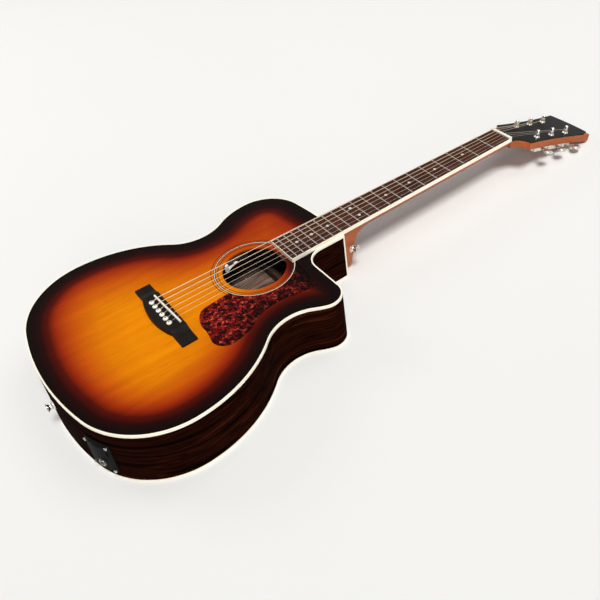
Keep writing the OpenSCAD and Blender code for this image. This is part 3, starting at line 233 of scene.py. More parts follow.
def layout():
    """Places that several surfaces share. Fret n stands at L (1 - 2^(-n/12)). The outline is a chain of
    circles, each tangent to the next: from the tail's circle by lower bout, flank, waist and upper bout to
    the front, and on the treble side by horn and nook to the neck."""
    b, n = own("body"), own("neck")
    before_fret = 0.002
    p = SimpleNamespace()
    p.fret = lambda k: n.scale_length * (1 - 2 ** (-k / 12))
    p.half = lambda x: (n.nut_width + (n.twelfth_width - n.nut_width) * x / p.fret(12)) / 2
    p.start = p.fret(n.join_fret) - before_fret
    p.tail = p.start + b.body_length
    p.taper = math.atan((b.tail_depth - b.neck_depth) / b.body_length)
    p.hole = np.array([p.start + b.hole_at, 0.0])
    ends = lambda reach, half, r: (reach**2 + (half - r) ** 2 - r**2) / (2 * (reach - r))
    sums = lambda run, rise: (run**2 + rise**2) / (2 * rise)
    low, mid, up = b.lower_width / 2, b.waist_width / 2, b.upper_width / 2
    lower_x, waist_x, upper_x = p.start + b.lower_at, p.start + b.waist_at, p.start + b.upper_at
    p.tail_r = ends(p.tail - lower_x, low, b.lower_radius)
    p.flank_r = sums(lower_x - waist_x, low - mid) - b.waist_radius
    p.upper_r = sums(waist_x - upper_x, up - mid) - b.waist_radius
    p.front_r = ends(upper_x - p.start, up, b.shoulder_radius)
    p.tail_c = np.array([p.tail - p.tail_r, 0])
    p.lower_c = np.array([lower_x, low - b.lower_radius])
    p.flank_c = np.array([lower_x, low - p.flank_r])
    p.waist_c = np.array([waist_x, mid + b.waist_radius])
    p.upper_c = np.array([upper_x, up - p.upper_r])
    p.shoulder_c = np.array([upper_x, up - b.shoulder_radius])
    p.front_c = np.array([p.start + p.front_r, 0])
    p.cut_x = p.start + b.cutaway_deep
    p.cut_y = p.half(p.start) + b.cutaway_gap
    horn_x = p.cut_x + b.horn_radius
    horn_rise = math.sqrt((p.upper_r - b.horn_radius) ** 2 - (horn_x - upper_x) ** 2)
    p.horn_c = np.array([horn_x, p.upper_c[1] + horn_rise])
    p.nook_c = np.array([p.cut_x - b.nook_radius, p.cut_y + b.nook_radius])
    p.lift = b.tail_depth * math.cos(p.taper) - p.tail * math.sin(p.taper)
    p.middle = -(n.nut_thick * math.cos(p.taper) + n.nut_height * math.sin(p.taper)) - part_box("nut")[0].x
    return p


def to_frame(p, points):
    """Turns points of the soundboard's frame (x from nut to tail, y to treble, z out of the top) about the
    y axis by the body's taper and moves them, so that the back lies on the floor."""
    c, s = math.cos(p.taper), math.sin(p.taper)
    x, y, z = np.moveaxis(np.asarray(points, float), -1, 0)
    return np.stack([x * c - z * s - p.middle, y, x * s + z * c + p.lift], -1)


def from_head(points):
    """Takes points of the headstock's frame (x from the nut to its end, z out of its face) to the
    soundboard's frame: a turn by the pitch about y, half a turn about z, and a move to behind the nut."""
    n = own("neck")
    c, s = math.cos(n.head_pitch), math.sin(n.head_pitch)
    x, y, z = np.moveaxis(np.asarray(points, float), -1, 0)
    return np.stack([-n.nut_thick - x * c - z * s, -y, n.head_face - x * s + z * c], -1)


def post_at(i):
    """Place of the post of string i on the headstock, and its side: +1 bass, -1 treble."""
    t = own("tuners")
    pair, side = (i, 1) if i < STRINGS // 2 else (STRINGS - 1 - i, -1)
    return np.array([t.post_first + t.post_pitch * pair, side * (t.post_half + t.post_spread * pair)]), side


# surfaces

def arc(centre, radius, start, end, steps=48):
    """Points on a circle: the centre plus the radius times (cos w, sin w), w even from start to end."""
    w = np.linspace(start, end, steps)
    return np.asarray(centre) + radius * np.c_[np.cos(w), np.sin(w)]


def bow(a, b, sag, steps):
    """Points on the circular arc from a to b that swells to the left by sag: its radius is
    (c^2/4 + sag^2) / (2 |sag|) for a chord of length c."""
    a, b = np.asarray(a, float), np.asarray(b, float)
    c = np.linalg.norm(b - a)
    r = (c * c / 4 + sag * sag) / (2 * abs(sag))
    d = (b - a) / c
    left = np.array([-d[1], d[0]])
    half = math.asin(min(1, c / (2 * r)))
    w = np.linspace(-half, half, steps)[:, None]
    s = math.copysign(1, sag)
    return (a + b) / 2 + left * (sag - s * r) + r * (d * np.sin(w) + left * s * np.cos(w))


def angle(v):
    """Direction of a flat vector, from x toward y."""
    return math.atan2(v[1], v[0])


def run_along(points):
    """Distance of each point from the first one, summed along the line."""
    return np.r_[0, np.cumsum(np.linalg.norm(np.diff(points, axis=0), axis=1))]


def even(points, count):
    """The same closed line with count points at even spacing along its length."""
    q = np.vstack([points, points[:1]])
    run = run_along(q)
    at = np.linspace(0, run[-1], count, endpoint=False)
    return np.stack([np.interp(at, run, q[:, k]) for k in range(q.shape[1])], -1)


def ease(share):
    """A smooth step: 3 s^2 - 2 s^3 of a share that stops at 0 and 1."""
    share = np.clip(share, 0, 1)
    return share * share * (3 - 2 * share)


def fall_off(radius, past):
    """How far a circle falls away past its crown: r - sqrt(r^2 - d^2), with d between 0 and r."""
    past = np.clip(past, 0, radius)
    return radius - np.sqrt(np.maximum(radius**2 - past**2, 0))


def outline(p, inset, count):
    """The body's edge moved inwards by inset: arcs of the tangent circles, joined in order from the tail by
    the treble side to the front and back by the bass side, with count points at even spacing."""
    b, t = own("body"), inset
    tail_w, waist_w = angle(p.lower_c - p.tail_c), angle(p.waist_c - p.flank_c)
    rise_w, horn_w = angle(p.waist_c - p.upper_c), angle(p.horn_c - p.upper_c)
    front_w = angle(p.shoulder_c - p.front_c)
    side_w = math.pi - math.asin((p.cut_y - t) / (p.front_r - t))
    lower = [
        arc(p.tail_c, p.tail_r - t, 0, tail_w),
        arc(p.lower_c, b.lower_radius - t, tail_w, QUARTER),
        arc(p.flank_c, p.flank_r - t, QUARTER, waist_w),
        arc(p.waist_c, b.waist_radius + t, waist_w - math.pi, rise_w - math.pi),
    ]
    treble = lower + [
        arc(p.upper_c, p.upper_r - t, rise_w, horn_w),
        arc(p.horn_c, b.horn_radius - t, horn_w, math.pi),
        arc(p.nook_c, b.nook_radius + t, 0, -QUARTER),
        arc(p.front_c, p.front_r - t, side_w, math.pi),
    ]
    bass = lower + [
        arc(p.upper_c, p.upper_r - t, rise_w, QUARTER),
        arc(p.shoulder_c, b.shoulder_radius - t, QUARTER, front_w),
        arc(p.front_c, p.front_r - t, front_w, math.pi),
    ]
    bass = np.vstack(bass)[::-1] * [1, -1]
    return even(np.vstack([np.vstack(treble), bass[1:-1]]), count)


def rings(path, radii, sides, up):
    """A tube: round each point of a path stands a circle of its radius, in the plane of the two directions
    square to the path, of which one is also square to up. Gives rows of points along the path."""
    way = np.gradient(path, axis=0)
    way /= np.linalg.norm(way, axis=1, keepdims=True)
    across = np.cross(way, up)
    across /= np.linalg.norm(across, axis=1, keepdims=True)
    over = np.cross(across, way)
    w = np.linspace(0, TURN, sides, endpoint=False)[None, :, None]
    r = np.asarray(radii, float).reshape(-1, 1, 1)
    return path[:, None] + r * (across[:, None] * np.cos(w) + over[:, None] * np.sin(w))


def lathe(profile, sides=40):
    """A turned piece: each (distance, radius) of the profile is carried round the x axis."""
    profile = np.asarray(profile, float)
    w = np.linspace(0, TURN, sides, endpoint=False)
    r = profile[:, 1:2]
    return np.stack([np.repeat(profile[:, :1], sides, 1), r * np.cos(w), r * np.sin(w)], -1)


def grid_faces(rows, cols, first, close_rows):
    """Corner numbers of the four-sided faces of a grid of points, row after row; each row is closed."""
    i = np.arange(rows if close_rows else rows - 1)[:, None]
    j = np.arange(cols)[None, :]
    i2, j2 = (i + 1) % rows, (j + 1) % cols
    corners = [i * cols + j, i * cols + j2, i2 * cols + j2, i2 * cols + j]
    return np.stack(np.broadcast_arrays(*corners), -1).reshape(-1, 4) + first


def mesh_piece(name, grids, materials, body, sharp=35, values=None):
    """One object from several grids. Each grid is (points, close_rows, caps, material number): rows run
    round a closed line, caps closes its two ends with a flat face. values are numbers per point, kept as
    attributes."""
    points, quads, ends, quad_mat, end_mat, first = [], [], [], [], [], 0
    for grid, close_rows, caps, mat in grids:
        rows, cols = grid.shape[:2]
        faces = grid_faces(rows, cols, first, close_rows)
        quads.append(faces)
        quad_mat.append(np.full(len(faces), mat))
        if caps:
            ends.append(np.arange(cols)[::-1] + first)
            ends.append(np.arange(cols) + first + (rows - 1) * cols)
            end_mat += [mat, mat]
        points.append(grid.reshape(-1, 3))
        first += rows * cols
    points = np.vstack(points)
    quads = np.vstack(quads)
    loops = np.concatenate([quads.reshape(-1)] + ends)
    counts = np.concatenate([np.full(len(quads), 4), [len(e) for e in ends]]).astype(int)
    mesh = bpy.data.meshes.new(name)
    mesh.vertices.add(len(points))
    mesh.vertices.foreach_set("co", points.astype(np.float32).reshape(-1))
    mesh.loops.add(len(loops))
    mesh.loops.foreach_set("vertex_index", loops.astype(np.int32))
    mesh.polygons.add(len(counts))
    mesh.polygons.foreach_set("loop_start", np.r_[0, np.cumsum(counts)[:-1]].astype(np.int32))
    for mat in materials:
        mesh.materials.append(mat)
    mesh.polygons.foreach_set("material_index", np.concatenate(quad_mat + [end_mat]).astype(np.int32))
    for key, data in (values or {}).items():
        kept = mesh.attributes.new(key, "FLOAT", "POINT")
        kept.data.foreach_set("value", np.asarray(data, np.float32).reshape(-1))
    mesh.update(calc_edges=True)
    if mesh.validate():
        raise RuntimeError(f"{name} had broken faces")
    mesh.shade_smooth()
    mesh.set_sharp_from_angle(angle=math.radians(sharp))
    piece = bpy.data.objects.new(name, mesh)
    bpy.context.scene.collection.objects.link(piece)
    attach(piece, body)
    return piece


# shader nodes

def add(tree, kind, inputs=None, **settings):
    """One node with its settings; inputs are values to write or sockets to link."""
    node = tree.nodes.new(kind)
    for key, value in settings.items():
        setattr(node, key, value)
    for key, value in (inputs or {}).items():
        if isinstance(value, bpy.types.NodeSocket):
            tree.links.new(value, node.inputs[key])
        else:
            node.inputs[key].default_value = value
    return node


def maths(tree, operation, a, b=0.0, c=0.0):
    """One arithmetic step on up to three values."""
    return add(tree, "ShaderNodeMath", {0: a, 1: b, 2: c}, operation=operation).outputs[0]


def weighed(tree, a, share_a, b, share_b):
    """Two values added, each times its share."""
    return maths(tree, "ADD", maths(tree, "MULTIPLY", a, share_a), maths(tree, "MULTIPLY", b, share_b))


def vectors(tree, operation, a, b, output="Vector"):
    """One arithmetic step on two vectors."""
    return add(tree, "ShaderNodeVectorMath", {0: a, 1: b}, operation=operation).outputs[output]


def axes(tree, vector):
    """The three coordinates of a vector."""
    return add(tree, "ShaderNodeSeparateXYZ", {0: vector}).outputs


def joined(tree, **coordinates):
    """A vector from its coordinates X, Y and Z."""
    return add(tree, "ShaderNodeCombineXYZ", coordinates).outputs[0]


def object_place(tree):
    """Object coordinates."""
    return add(tree, "ShaderNodeTexCoord").outputs["Object"]


def attribute(tree, name):
    """A number that the mesh keeps at each point."""
    return add(tree, "ShaderNodeAttribute", attribute_name=name).outputs["Fac"]


def noise(tree, vector, scale, detail=2.0, output="Fac", **inputs):
    """Cloudy noise with scale clouds a metre."""
    inputs = {"Vector": vector, "Scale": scale, "Detail": detail, **inputs}
    return add(tree, "ShaderNodeTexNoise", inputs).outputs[output]


def ramp(tree, value, stops, mode="LINEAR"):
    """A colour for each value, from stops of (place, colour)."""
    node = add(tree, "ShaderNodeValToRGB", {"Fac": value})
    node.color_ramp.interpolation = mode
    points = node.color_ramp.elements
    while len(points) < len(stops):
        points.new(1.0)
    for point, (place, rgb) in zip(points, stops):
        point.position = place
        point.color = (*rgb, 1)
    return node.outputs["Color"]


def scaled(rgb, share):
    """A colour made darker or lighter, no channel past 1."""
    return tuple(min(1.0, c * share) for c in rgb[:3])


def tones(rgb, *stops):
    """Stops for a ramp in one colour, from (place, share) pairs."""
    return [(place, scaled(rgb, share)) for place, share in stops]


def between(tree, value, low, high, to_low=0.0, to_high=1.0):
    """Maps a range of values to another and stops at its ends."""
    inputs = {"Value": value, "From Min": low, "From Max": high, "To Min": to_low, "To Max": to_high}
    return add(tree, "ShaderNodeMapRange", inputs).outputs["Result"]


def blend(tree, factor, a, b, kind="MIX"):
    """Two colours mixed by a factor."""
    node = add(tree, "ShaderNodeMix", data_type="RGBA", blend_type=kind)
    factor_in, a_in, b_in, colour_out = 0, 6, 7, 2
    for k, value in ((factor_in, factor), (a_in, a), (b_in, b)):
        if isinstance(value, bpy.types.NodeSocket):
            tree.links.new(value, node.inputs[k])
        else:
            node.inputs[k].default_value = value if k == factor_in else (*value[:3], 1)
    return node.outputs[colour_out]


def group(name, inputs, outputs, fill, kind="NodeSocketFloat"):
    """A shader node group with named sockets, made once. Each input has its default number, or None where it
    is a vector; kind is that of the outputs, and fill links the inside."""
    if name in bpy.data.node_groups:
        return bpy.data.node_groups[name]
    tree = bpy.data.node_groups.new(name, "ShaderNodeTree")
    for key, default in inputs.items():
        if default is None:
            tree.interface.new_socket(name=key, in_out="INPUT", socket_type="NodeSocketVector")
        else:
            socket = tree.interface.new_socket(name=key, in_out="INPUT", socket_type="NodeSocketFloat")
            socket.default_value = default
    for key in outputs:
        tree.interface.new_socket(name=key, in_out="OUTPUT", socket_type=kind)
    fill(tree, tree.nodes.new("NodeGroupInput").outputs, tree.nodes.new("NodeGroupOutput").inputs)
    return tree


def use(tree, shared, **inputs):
    """Places a shared group in a material with its own values."""
    values = {key.replace("_", " "): value for key, value in inputs.items()}
    return add(tree, "ShaderNodeGroup", values, node_tree=shared).outputs


def wood_group():
    """Grain: noise stretched along x gives broad bands, fine lines and short dark pores."""

    def fill(tree, i, o):
        sway = maths(tree, "SUBTRACT", noise(tree, i["Vector"], i["Sway scale"]), 0.5)
        offset = maths(tree, "MULTIPLY", sway, i["Sway"])
        moved = vectors(tree, "ADD", i["Vector"], joined(tree, Y=offset, Z=offset))

        def stretched(scale, squash, detail, rough):
            """Noise with x squashed first, so that it runs long in x."""
            at = vectors(tree, "MULTIPLY", moved, (squash, 1, 1))
            return noise(tree, at, scale, detail, Roughness=rough)

        tree.links.new(stretched(i["Band scale"], 0.06, 4.0, 0.55), o["Band"])
        tree.links.new(stretched(i["Line scale"], 0.012, 3.0, 0.6), o["Line"])
        pore = stretched(i["Pore scale"], 0.05, 1.0, 0.5)
        tree.links.new(between(tree, pore, 0.60, 0.72), o["Pore"])

    inputs = {"Vector": None, "Sway scale": 7.0, "Sway": 0.01, "Band scale": 60.0, "Line scale": 700.0,
              "Pore scale": 900.0}
    return group("Wood grain", inputs, ("Band", "Line", "Pore"), fill)


def polish_group():
    """Polish: a little unevenness in gloss, from cloudy hand marks and fine dust, and a very low height."""

    def fill(tree, i, o):
        dullest_speck, glossiest, dust_height = 0.04, 0.03, 0.15
        marks = noise(tree, i["Vector"], i["Mark scale"], 5.0, Roughness=0.65)
        dust = noise(tree, i["Vector"], i["Dust scale"])
        specks = maths(tree, "MULTIPLY", between(tree, dust, 0.66, 0.74), dullest_speck)
        swing = maths(tree, "MULTIPLY", maths(tree, "SUBTRACT", marks, 0.5), i["Swing"])
        total = maths(tree, "ADD", maths(tree, "ADD", i["Roughness"], swing), specks)
        tree.links.new(maths(tree, "MAXIMUM", total, glossiest), o["Roughness"])
        tree.links.new(maths(tree, "ADD", marks, maths(tree, "MULTIPLY", dust, dust_height)), o["Height"])
        tree.links.new(marks, o["Marks"])

    inputs = {"Vector": None, "Roughness": 0.3, "Swing": 0.1, "Mark scale": 25.0, "Dust scale": 900.0}
    return group("Polish", inputs, ("Roughness", "Height", "Marks"), fill)


def own_frame_group(p):
    """Object coordinates turned back to the soundboard's frame, in metres."""

    def fill(tree, i, o):
        inputs = {"Vector": object_place(tree), "Location": (-p.middle, 0, p.lift),
                  "Rotation": (0, -p.taper, 0)}
        place = add(tree, "ShaderNodeMapping", inputs, vector_type="TEXTURE")
        tree.links.new(place.outputs[0], o["Vector"])

    return group("Own frame", {}, ("Vector",), fill, "NodeSocketVector")


def material(name):
    """A new material with an empty tree, its Principled shader and the guitar's own frame."""
    mat = bpy.data.materials.new(name)
    mat.use_nodes = True
    tree = mat.node_tree
    tree.nodes.clear()
    shader = add(tree, "ShaderNodeBsdfPrincipled")
    out = add(tree, "ShaderNodeOutputMaterial")
    tree.links.new(shader.outputs[0], out.inputs["Surface"])
    vector = use(tree, own_frame_group(layout()))["Vector"]
    return mat, tree, shader, vector


def wire(tree, shader, shade, rough, height, bump=HAND_MARKS, distance=0.0002):
    """Links colour and roughness to the shader, and a height by way of a Bump node."""
    tree.links.new(shade, shader.inputs["Base Color"])
    tree.links.new(rough, shader.inputs["Roughness"])
    node = add(tree, "ShaderNodeBump", {"Height": height, "Strength": bump, "Distance": distance})
    tree.links.new(node.outputs["Normal"], shader.inputs["Normal"])


def polished(tree, shader, vector, shade, rough, swing=0.08):
    """A colour under a polish whose gloss swings about its roughness."""
    polish = use(tree, polish_group(), Vector=vector, Roughness=rough, Swing=swing)
    wire(tree, shader, shade, polish["Roughness"], polish["Height"])


def lacquer(shader, weight, rough):
    """A clear coat on the shader's own sockets."""
    shader.inputs["Coat Weight"].default_value = weight
    shader.inputs["Coat Roughness"].default_value = rough
    shader.inputs["Coat IOR"].default_value = 1.5


def shine_level(shader, level):
    """Strength of the plain reflection under the coat."""
    shader.inputs["Specular IOR Level"].default_value = level


# finishes

def sunburst_finish():
    """Spruce under a shaded stain: the shade follows the distance to the body's edge. Toward the neck
    the dark band is wider and, past the knee, the stain clears more slowly. On the bass half the same wider
    band and slower clearing are painted shade, darker where less light falls. Fine grain lines along the
    strings lighten and darken it."""
    mat, tree, shader, vector = material("sunburst spruce")
    c, start = own("finishes"), layout().start
    span, knee, cloudy = 0.14, 0.042, 0.004
    neck_wider, neck_slower = 0.008, -0.75
    # Painted shade: on the bass half the dark band is wider and the stain clears more slowly, darker where
    # less light falls.
    bass_shade_wider, bass_shade_slower = 0.0035, -0.33
    stops = (
        (0.006, c.burst_rim), (0.018, c.burst_dark), (0.030, c.burst_wine), (knee, c.burst_red),
        (0.060, c.burst_orange), (0.090, c.burst_amber), (0.125, c.burst_middle))
    x, y, _ = axes(tree, vector)
    neck = between(tree, x, start + 0.21, start + 0.10)
    bass = between(tree, y, 0.03, -0.09)
    wider = maths(tree, "MAXIMUM", maths(tree, "MULTIPLY", neck, neck_wider),
                  maths(tree, "MULTIPLY", bass, bass_shade_wider))
    slope = maths(tree, "MINIMUM", maths(tree, "MULTIPLY_ADD", neck, neck_slower, 1.0),
                  maths(tree, "MULTIPLY_ADD", bass, bass_shade_slower, 1.0))
    shift = maths(tree, "MULTIPLY", maths(tree, "SUBTRACT", noise(tree, vector, 9.0), 0.5), cloudy)
    deep = maths(tree, "SUBTRACT", maths(tree, "ADD", attribute(tree, "rim"), shift), wider)
    past = maths(tree, "MAXIMUM", maths(tree, "SUBTRACT", deep, knee), 0.0)
    depth = maths(tree, "MULTIPLY_ADD", past, slope, maths(tree, "MINIMUM", deep, knee))
    shade = ramp(tree, between(tree, depth, 0.0, span), [(d / span, tuple(rgb)) for d, rgb in stops])
    grain = use(tree, wood_group(), Vector=vector, Sway=0.004, Line_scale=900.0, Band_scale=70.0)
    lines = between(tree, grain["Line"], 0.3, 0.7, 0.74, 1.10)
    bands = between(tree, grain["Band"], 0.3, 0.7, 0.88, 1.06)
    tone = joined(tree, X=bands, Y=maths(tree, "MULTIPLY", bands, lines), Z=lines)
    shade = blend(tree, 1.0, shade, tone, "MULTIPLY")
    pores = maths(tree, "MULTIPLY", grain["Pore"], 0.5)
    shade = blend(tree, pores, shade, (0.80, 0.60, 0.40), "MULTIPLY")
    polished(tree, shader, vector, shade, 0.30)
    shine_level(shader, 0.02)
    lacquer(shader, 0.05, 0.05)
    return mat


def dark_wood_finish(name, flat):
    """Dark wood with reddish streaks. On the sides the streaks run level round the body, so the noise is
    stretched in x and y; on the flat back they run lengthwise and mirror at the centre seam. The back's
    upper face, inside the body, is bare wood."""
    mat, tree, shader, vector = material(name)
    c = own("finishes")
    gloss, bare_rough, slant = 0.012, 0.62, 0.8
    x, y, z = axes(tree, vector)
    if flat:
        along, across = x, maths(tree, "ABSOLUTE", y)
    else:
        slanted = maths(tree, "ADD", x, maths(tree, "MULTIPLY", y, slant))
        along, across = maths(tree, "MULTIPLY", slanted, slant), z
    grain = use(tree, wood_group(), Vector=joined(tree, X=along, Y=across), Sway=0.03, Sway_scale=6.0,
                Band_scale=95.0, Line_scale=420.0)
    streaks = weighed(tree, grain["Band"], 0.82, grain["Line"], 0.18)
    ground = tuple(c.dark_wood)
    streak = tones(c.dark_streak, (0.44, 0.15), (0.49, 0.50), (0.53, 0.12), (0.58, 0.25), (0.62, 1),
                   (0.66, 0.20))
    shade = ramp(tree, streaks, [(0.36, ground), *streak, (0.76, ground)])
    shade = blend(tree, maths(tree, "MULTIPLY", grain["Pore"], 0.6), shade, scaled(ground, 0.5))
    polish = use(tree, polish_group(), Vector=vector, Roughness=0.32, Swing=0.1)
    rough = polish["Roughness"]
    shine_level(shader, 0.0)
    lacquer(shader, gloss, 0.06)
    if flat:
        outside = between(tree, axes(tree, object_place(tree))[2], 0.0020, 0.0012)
        inside = ramp(tree, streaks, tones(c.bare_back, (0.36, 0.35), (0.46, 1.2), (0.52, 0.6), (0.60, 1.5)))
        shade = blend(tree, outside, inside, shade)
        rough = between(tree, outside, 0.0, 1.0, bare_rough, rough)
        tree.links.new(maths(tree, "MULTIPLY", outside, gloss), shader.inputs["Coat Weight"])
    wire(tree, shader, shade, rough, polish["Height"])
    return mat


def plain_wood_finish(name, rgb, contrast, rough, coat=0.0, pores=0.5, turned=False, bands=60.0, shine=0.15):
    """Wood with grain along x, or along y where it is turned: bands and lines vary its tone and pores
    darken it."""
    mat, tree, shader, vector = material(name)
    bare_bump, coated_bump, coat_rough = 0.10, 0.03, 0.08
    if turned:
        x, y, z = axes(tree, vector)
        vector = joined(tree, X=y, Y=x, Z=z)
    grain = use(tree, wood_group(), Vector=vector, Sway=0.008, Band_scale=bands, Line_scale=520.0)
    mix = weighed(tree, grain["Band"], 0.6, grain["Line"], 0.4)
    shade = ramp(tree, mix, tones(rgb, (0.30, 1 - contrast * 1.4), (0.48, 1), (0.70, 1 + contrast * 1.8)))
    shade = blend(tree, maths(tree, "MULTIPLY", grain["Pore"], pores), shade, scaled(rgb, 0.35))
    polish = use(tree, polish_group(), Vector=vector, Roughness=rough, Swing=0.12)
    height = maths(tree, "SUBTRACT", grain["Line"], maths(tree, "MULTIPLY", grain["Pore"], 0.8))
    wire(tree, shader, shade, polish["Roughness"], height, coated_bump if coat else bare_bump)
    shine_level(shader, shine)
    if coat:
        lacquer(shader, coat, coat_rough)
    return mat


def plastic_finish(name, rgb, rough, grainy=0.0, coat=0.0, shine=0.4):
    """Moulded or cut plastic: a cloudy drift of tone, hand marks in the gloss and, where grainy, a fine
    moulded texture."""
    mat, tree, shader, vector = material(name)
    drift, coat_rough = 0.06, 0.06
    shade = ramp(tree, noise(tree, vector, 38.0, 3.0), tones(rgb, (0.3, 1 - drift), (0.7, 1 + drift)))
    polish = use(tree, polish_group(), Vector=vector, Roughness=rough, Swing=0.12)
    height = noise(tree, vector, 1600.0, 1.0) if grainy else polish["Height"]
    wire(tree, shader, shade, polish["Roughness"], height, grainy or HAND_MARKS)
    shine_level(shader, shine)
    if coat:
        lacquer(shader, coat, coat_rough)
    return mat


def ivory_finish():
    """Ivory-coloured binding: faint clouds in the sheet that it was cut from, slightly yellowed."""
    mat, tree, shader, vector = material("ivory binding")
    rgb = tuple(own("finishes").ivory)
    yellowed = (rgb[0] * 0.96, rgb[1] * 0.93, rgb[2] * 0.84)
    shade = ramp(tree, noise(tree, vector, 55.0, 4.0), [(0.30, yellowed), (0.65, rgb)])
    polished(tree, shader, vector, shade, 0.26)
    lacquer(shader, 0.3, 0.05)
    return mat


def metal_finish(name, rgb, rough, tarnish=0.25):
    """Plated metal: cloudy handling marks dull the gloss and darken the tone a little."""
    mat, tree, shader, vector = material(name)
    metal_bump = 0.015
    polish = use(tree, polish_group(), Vector=vector, Roughness=rough, Swing=0.16, Mark_scale=140.0,
                 Dust_scale=2400.0)
    shade = ramp(tree, polish["Marks"], tones(rgb, (0.30, 1 - tarnish), (0.55, 1), (0.80, 1.05)))
    wire(tree, shader, shade, polish["Roughness"], polish["Height"], metal_bump)
    shader.inputs["Metallic"].default_value = 1.0
    return mat


def flattened(tree, vector):
    """A place without its height."""
    return vectors(tree, "MULTIPLY", vector, (1, 1, 0))


def tortoise_finish():
    """Red tortoise sheet: two sizes of cells with bent edges, each cell with its own tone from black by red
    to orange. The sheet lets the shaded stain through, so it darkens toward the cutaway, the waist and the
    neck."""
    mat, tree, shader, vector = material("red tortoise")
    b, p = own("body"), layout()
    bend, neck_dark, neck_light = 0.006, p.hole[0] - 0.055, p.hole[0] + 0.015
    flat = flattened(tree, vector)
    cloud = vectors(tree, "SUBTRACT", noise(tree, flat, 160.0, output="Color"), (0.5, 0.5, 0.5))
    at = vectors(tree, "ADD", flat, vectors(tree, "MULTIPLY", cloud, (bend, bend, bend)))
    tone = []
    for scale in (210.0, 430.0):
        cells = add(tree, "ShaderNodeTexVoronoi", {"Vector": at, "Scale": scale}).outputs["Color"]
        tone.append(add(tree, "ShaderNodeSeparateColor", {0: cells}).outputs[0])
    red = tones(own("finishes").tortoise, (0.42, 0.14), (0.56, 0.5), (0.68, 1), (0.78, 1.6))
    shade = ramp(tree, weighed(tree, tone[0], 0.55, tone[1], 0.45), [
        (0.28, (0.006, 0.001, 0.002)), *red, (0.88, (0.50, 0.080, 0.028))])
    x = axes(tree, flat)[0]
    waist = vectors(tree, "DISTANCE", flat, (*p.waist_c, 0), "Value")
    rim = maths(tree, "MINIMUM", maths(tree, "SUBTRACT", x, p.cut_x),
                maths(tree, "SUBTRACT", waist, b.waist_radius))
    under = maths(tree, "MULTIPLY", between(tree, rim, 0.020, 0.064, 0.06, 1.0),
                  between(tree, x, neck_dark, neck_light, 0.3, 1.0))
    shade = blend(tree, 1.0, shade, joined(tree, X=under, Y=under, Z=under), "MULTIPLY")
    polished(tree, shader, vector, shade, 0.22)
    shine_level(shader, 0.02)
    lacquer(shader, 0.05, 0.03)
    return mat


def hole_distance(tree, vector):
    """Distance from the soundhole's axis."""
    return vectors(tree, "DISTANCE", flattened(tree, vector), (*layout().hole, 0), "Value")


def ring_finish():
    """Rosette lines: black, brown and white by the distance from the soundhole's axis."""
    mat, tree, shader, vector = material("rosette lines")
    b = own("body")
    black, brown, white = (0.012, 0.008, 0.006), (0.09, 0.022, 0.005), (0.74, 0.69, 0.58)
    span, low, high = 0.020, b.ring_edges[2], b.ring_edges[3]
    stops = (
        (0.0, black), (low, brown), (low + 0.0007, black), (low + 0.0013, white), (high - 0.0012, black),
        (high - 0.0007, brown), (high, black))
    at = between(tree, hole_distance(tree, vector), b.hole_radius, b.hole_radius + span)
    shade = ramp(tree, at, [(d / span, rgb) for d, rgb in stops], "CONSTANT")
    fleck = ramp(tree, noise(tree, vector, 420.0), [(0.3, (0.82, 0.82, 0.80)), (0.7, (1, 1, 1))])
    polished(tree, shader, vector, blend(tree, 1.0, shade, fleck, "MULTIPLY"), 0.30)
    shine_level(shader, 0.02)
    lacquer(shader, 0.05, 0.05)
    return mat


def unit_finish():
    """Black control unit whose floor and cheek, inside the soundhole's edge, are white."""
    mat, tree, shader, vector = material("control unit")
    edge = own("body").hole_radius
    white = between(tree, hole_distance(tree, vector), edge + 0.0007, edge + 0.0005)
    pale = ramp(tree, noise(tree, vector, 60.0, 3.0), [(0.3, (0.85, 0.85, 0.82)), (0.7, (0.92, 0.92, 0.89))])
    polished(tree, shader, vector, blend(tree, white, (0.012, 0.012, 0.013), pale), 0.38, 0.1)
    return mat


def pearl_finish():
    """Pearl: bands of cream, pink and green shimmer under a polished face."""
    mat, tree, shader, vector = material("pearl")
    shade = ramp(tree, noise(tree, vector, 300.0, 3.0, Distortion=2.0), [
        (0.30, (0.50, 0.56, 0.50)), (0.45, (0.68, 0.66, 0.60)), (0.60, (0.62, 0.52, 0.53)),
        (0.75, (0.74, 0.74, 0.70))])
    polished(tree, shader, vector, shade, 0.22)
    lacquer(shader, 0.8, 0.05)
    return mat


def pin_finish():
    """Bone-coloured pins with a black dot round each pin's axis, and a yellowed drift."""
    mat, tree, shader, vector = material("bone pins")
    s, pitch = own("bridge"), own("tuners").string_pitch
    head_low, head_high, dot_out, dot_in = s.high + 0.0024, s.high + 0.0026, 0.00125, 0.00105
    x, y, z = axes(tree, vector)
    step = maths(tree, "SUBTRACT", maths(tree, "FLOORED_MODULO", y, pitch), pitch / 2)
    off = maths(tree, "SUBTRACT", x, own("neck").scale_length + s.pin_behind)
    away = maths(tree, "SQRT", weighed(tree, step, step, off, off))
    dot = maths(tree, "MULTIPLY", between(tree, away, dot_out, dot_in), between(tree, z, head_low, head_high))
    bone = ramp(tree, noise(tree, vector, 200.0, 3.0), [(0.3, (0.80, 0.75, 0.63)), (0.7, (0.89, 0.86, 0.77))])
    polished(tree, shader, vector, blend(tree, dot, bone, (0.01, 0.01, 0.01)), 0.25)
    lacquer(shader, 0.6, 0.06)
    return mat


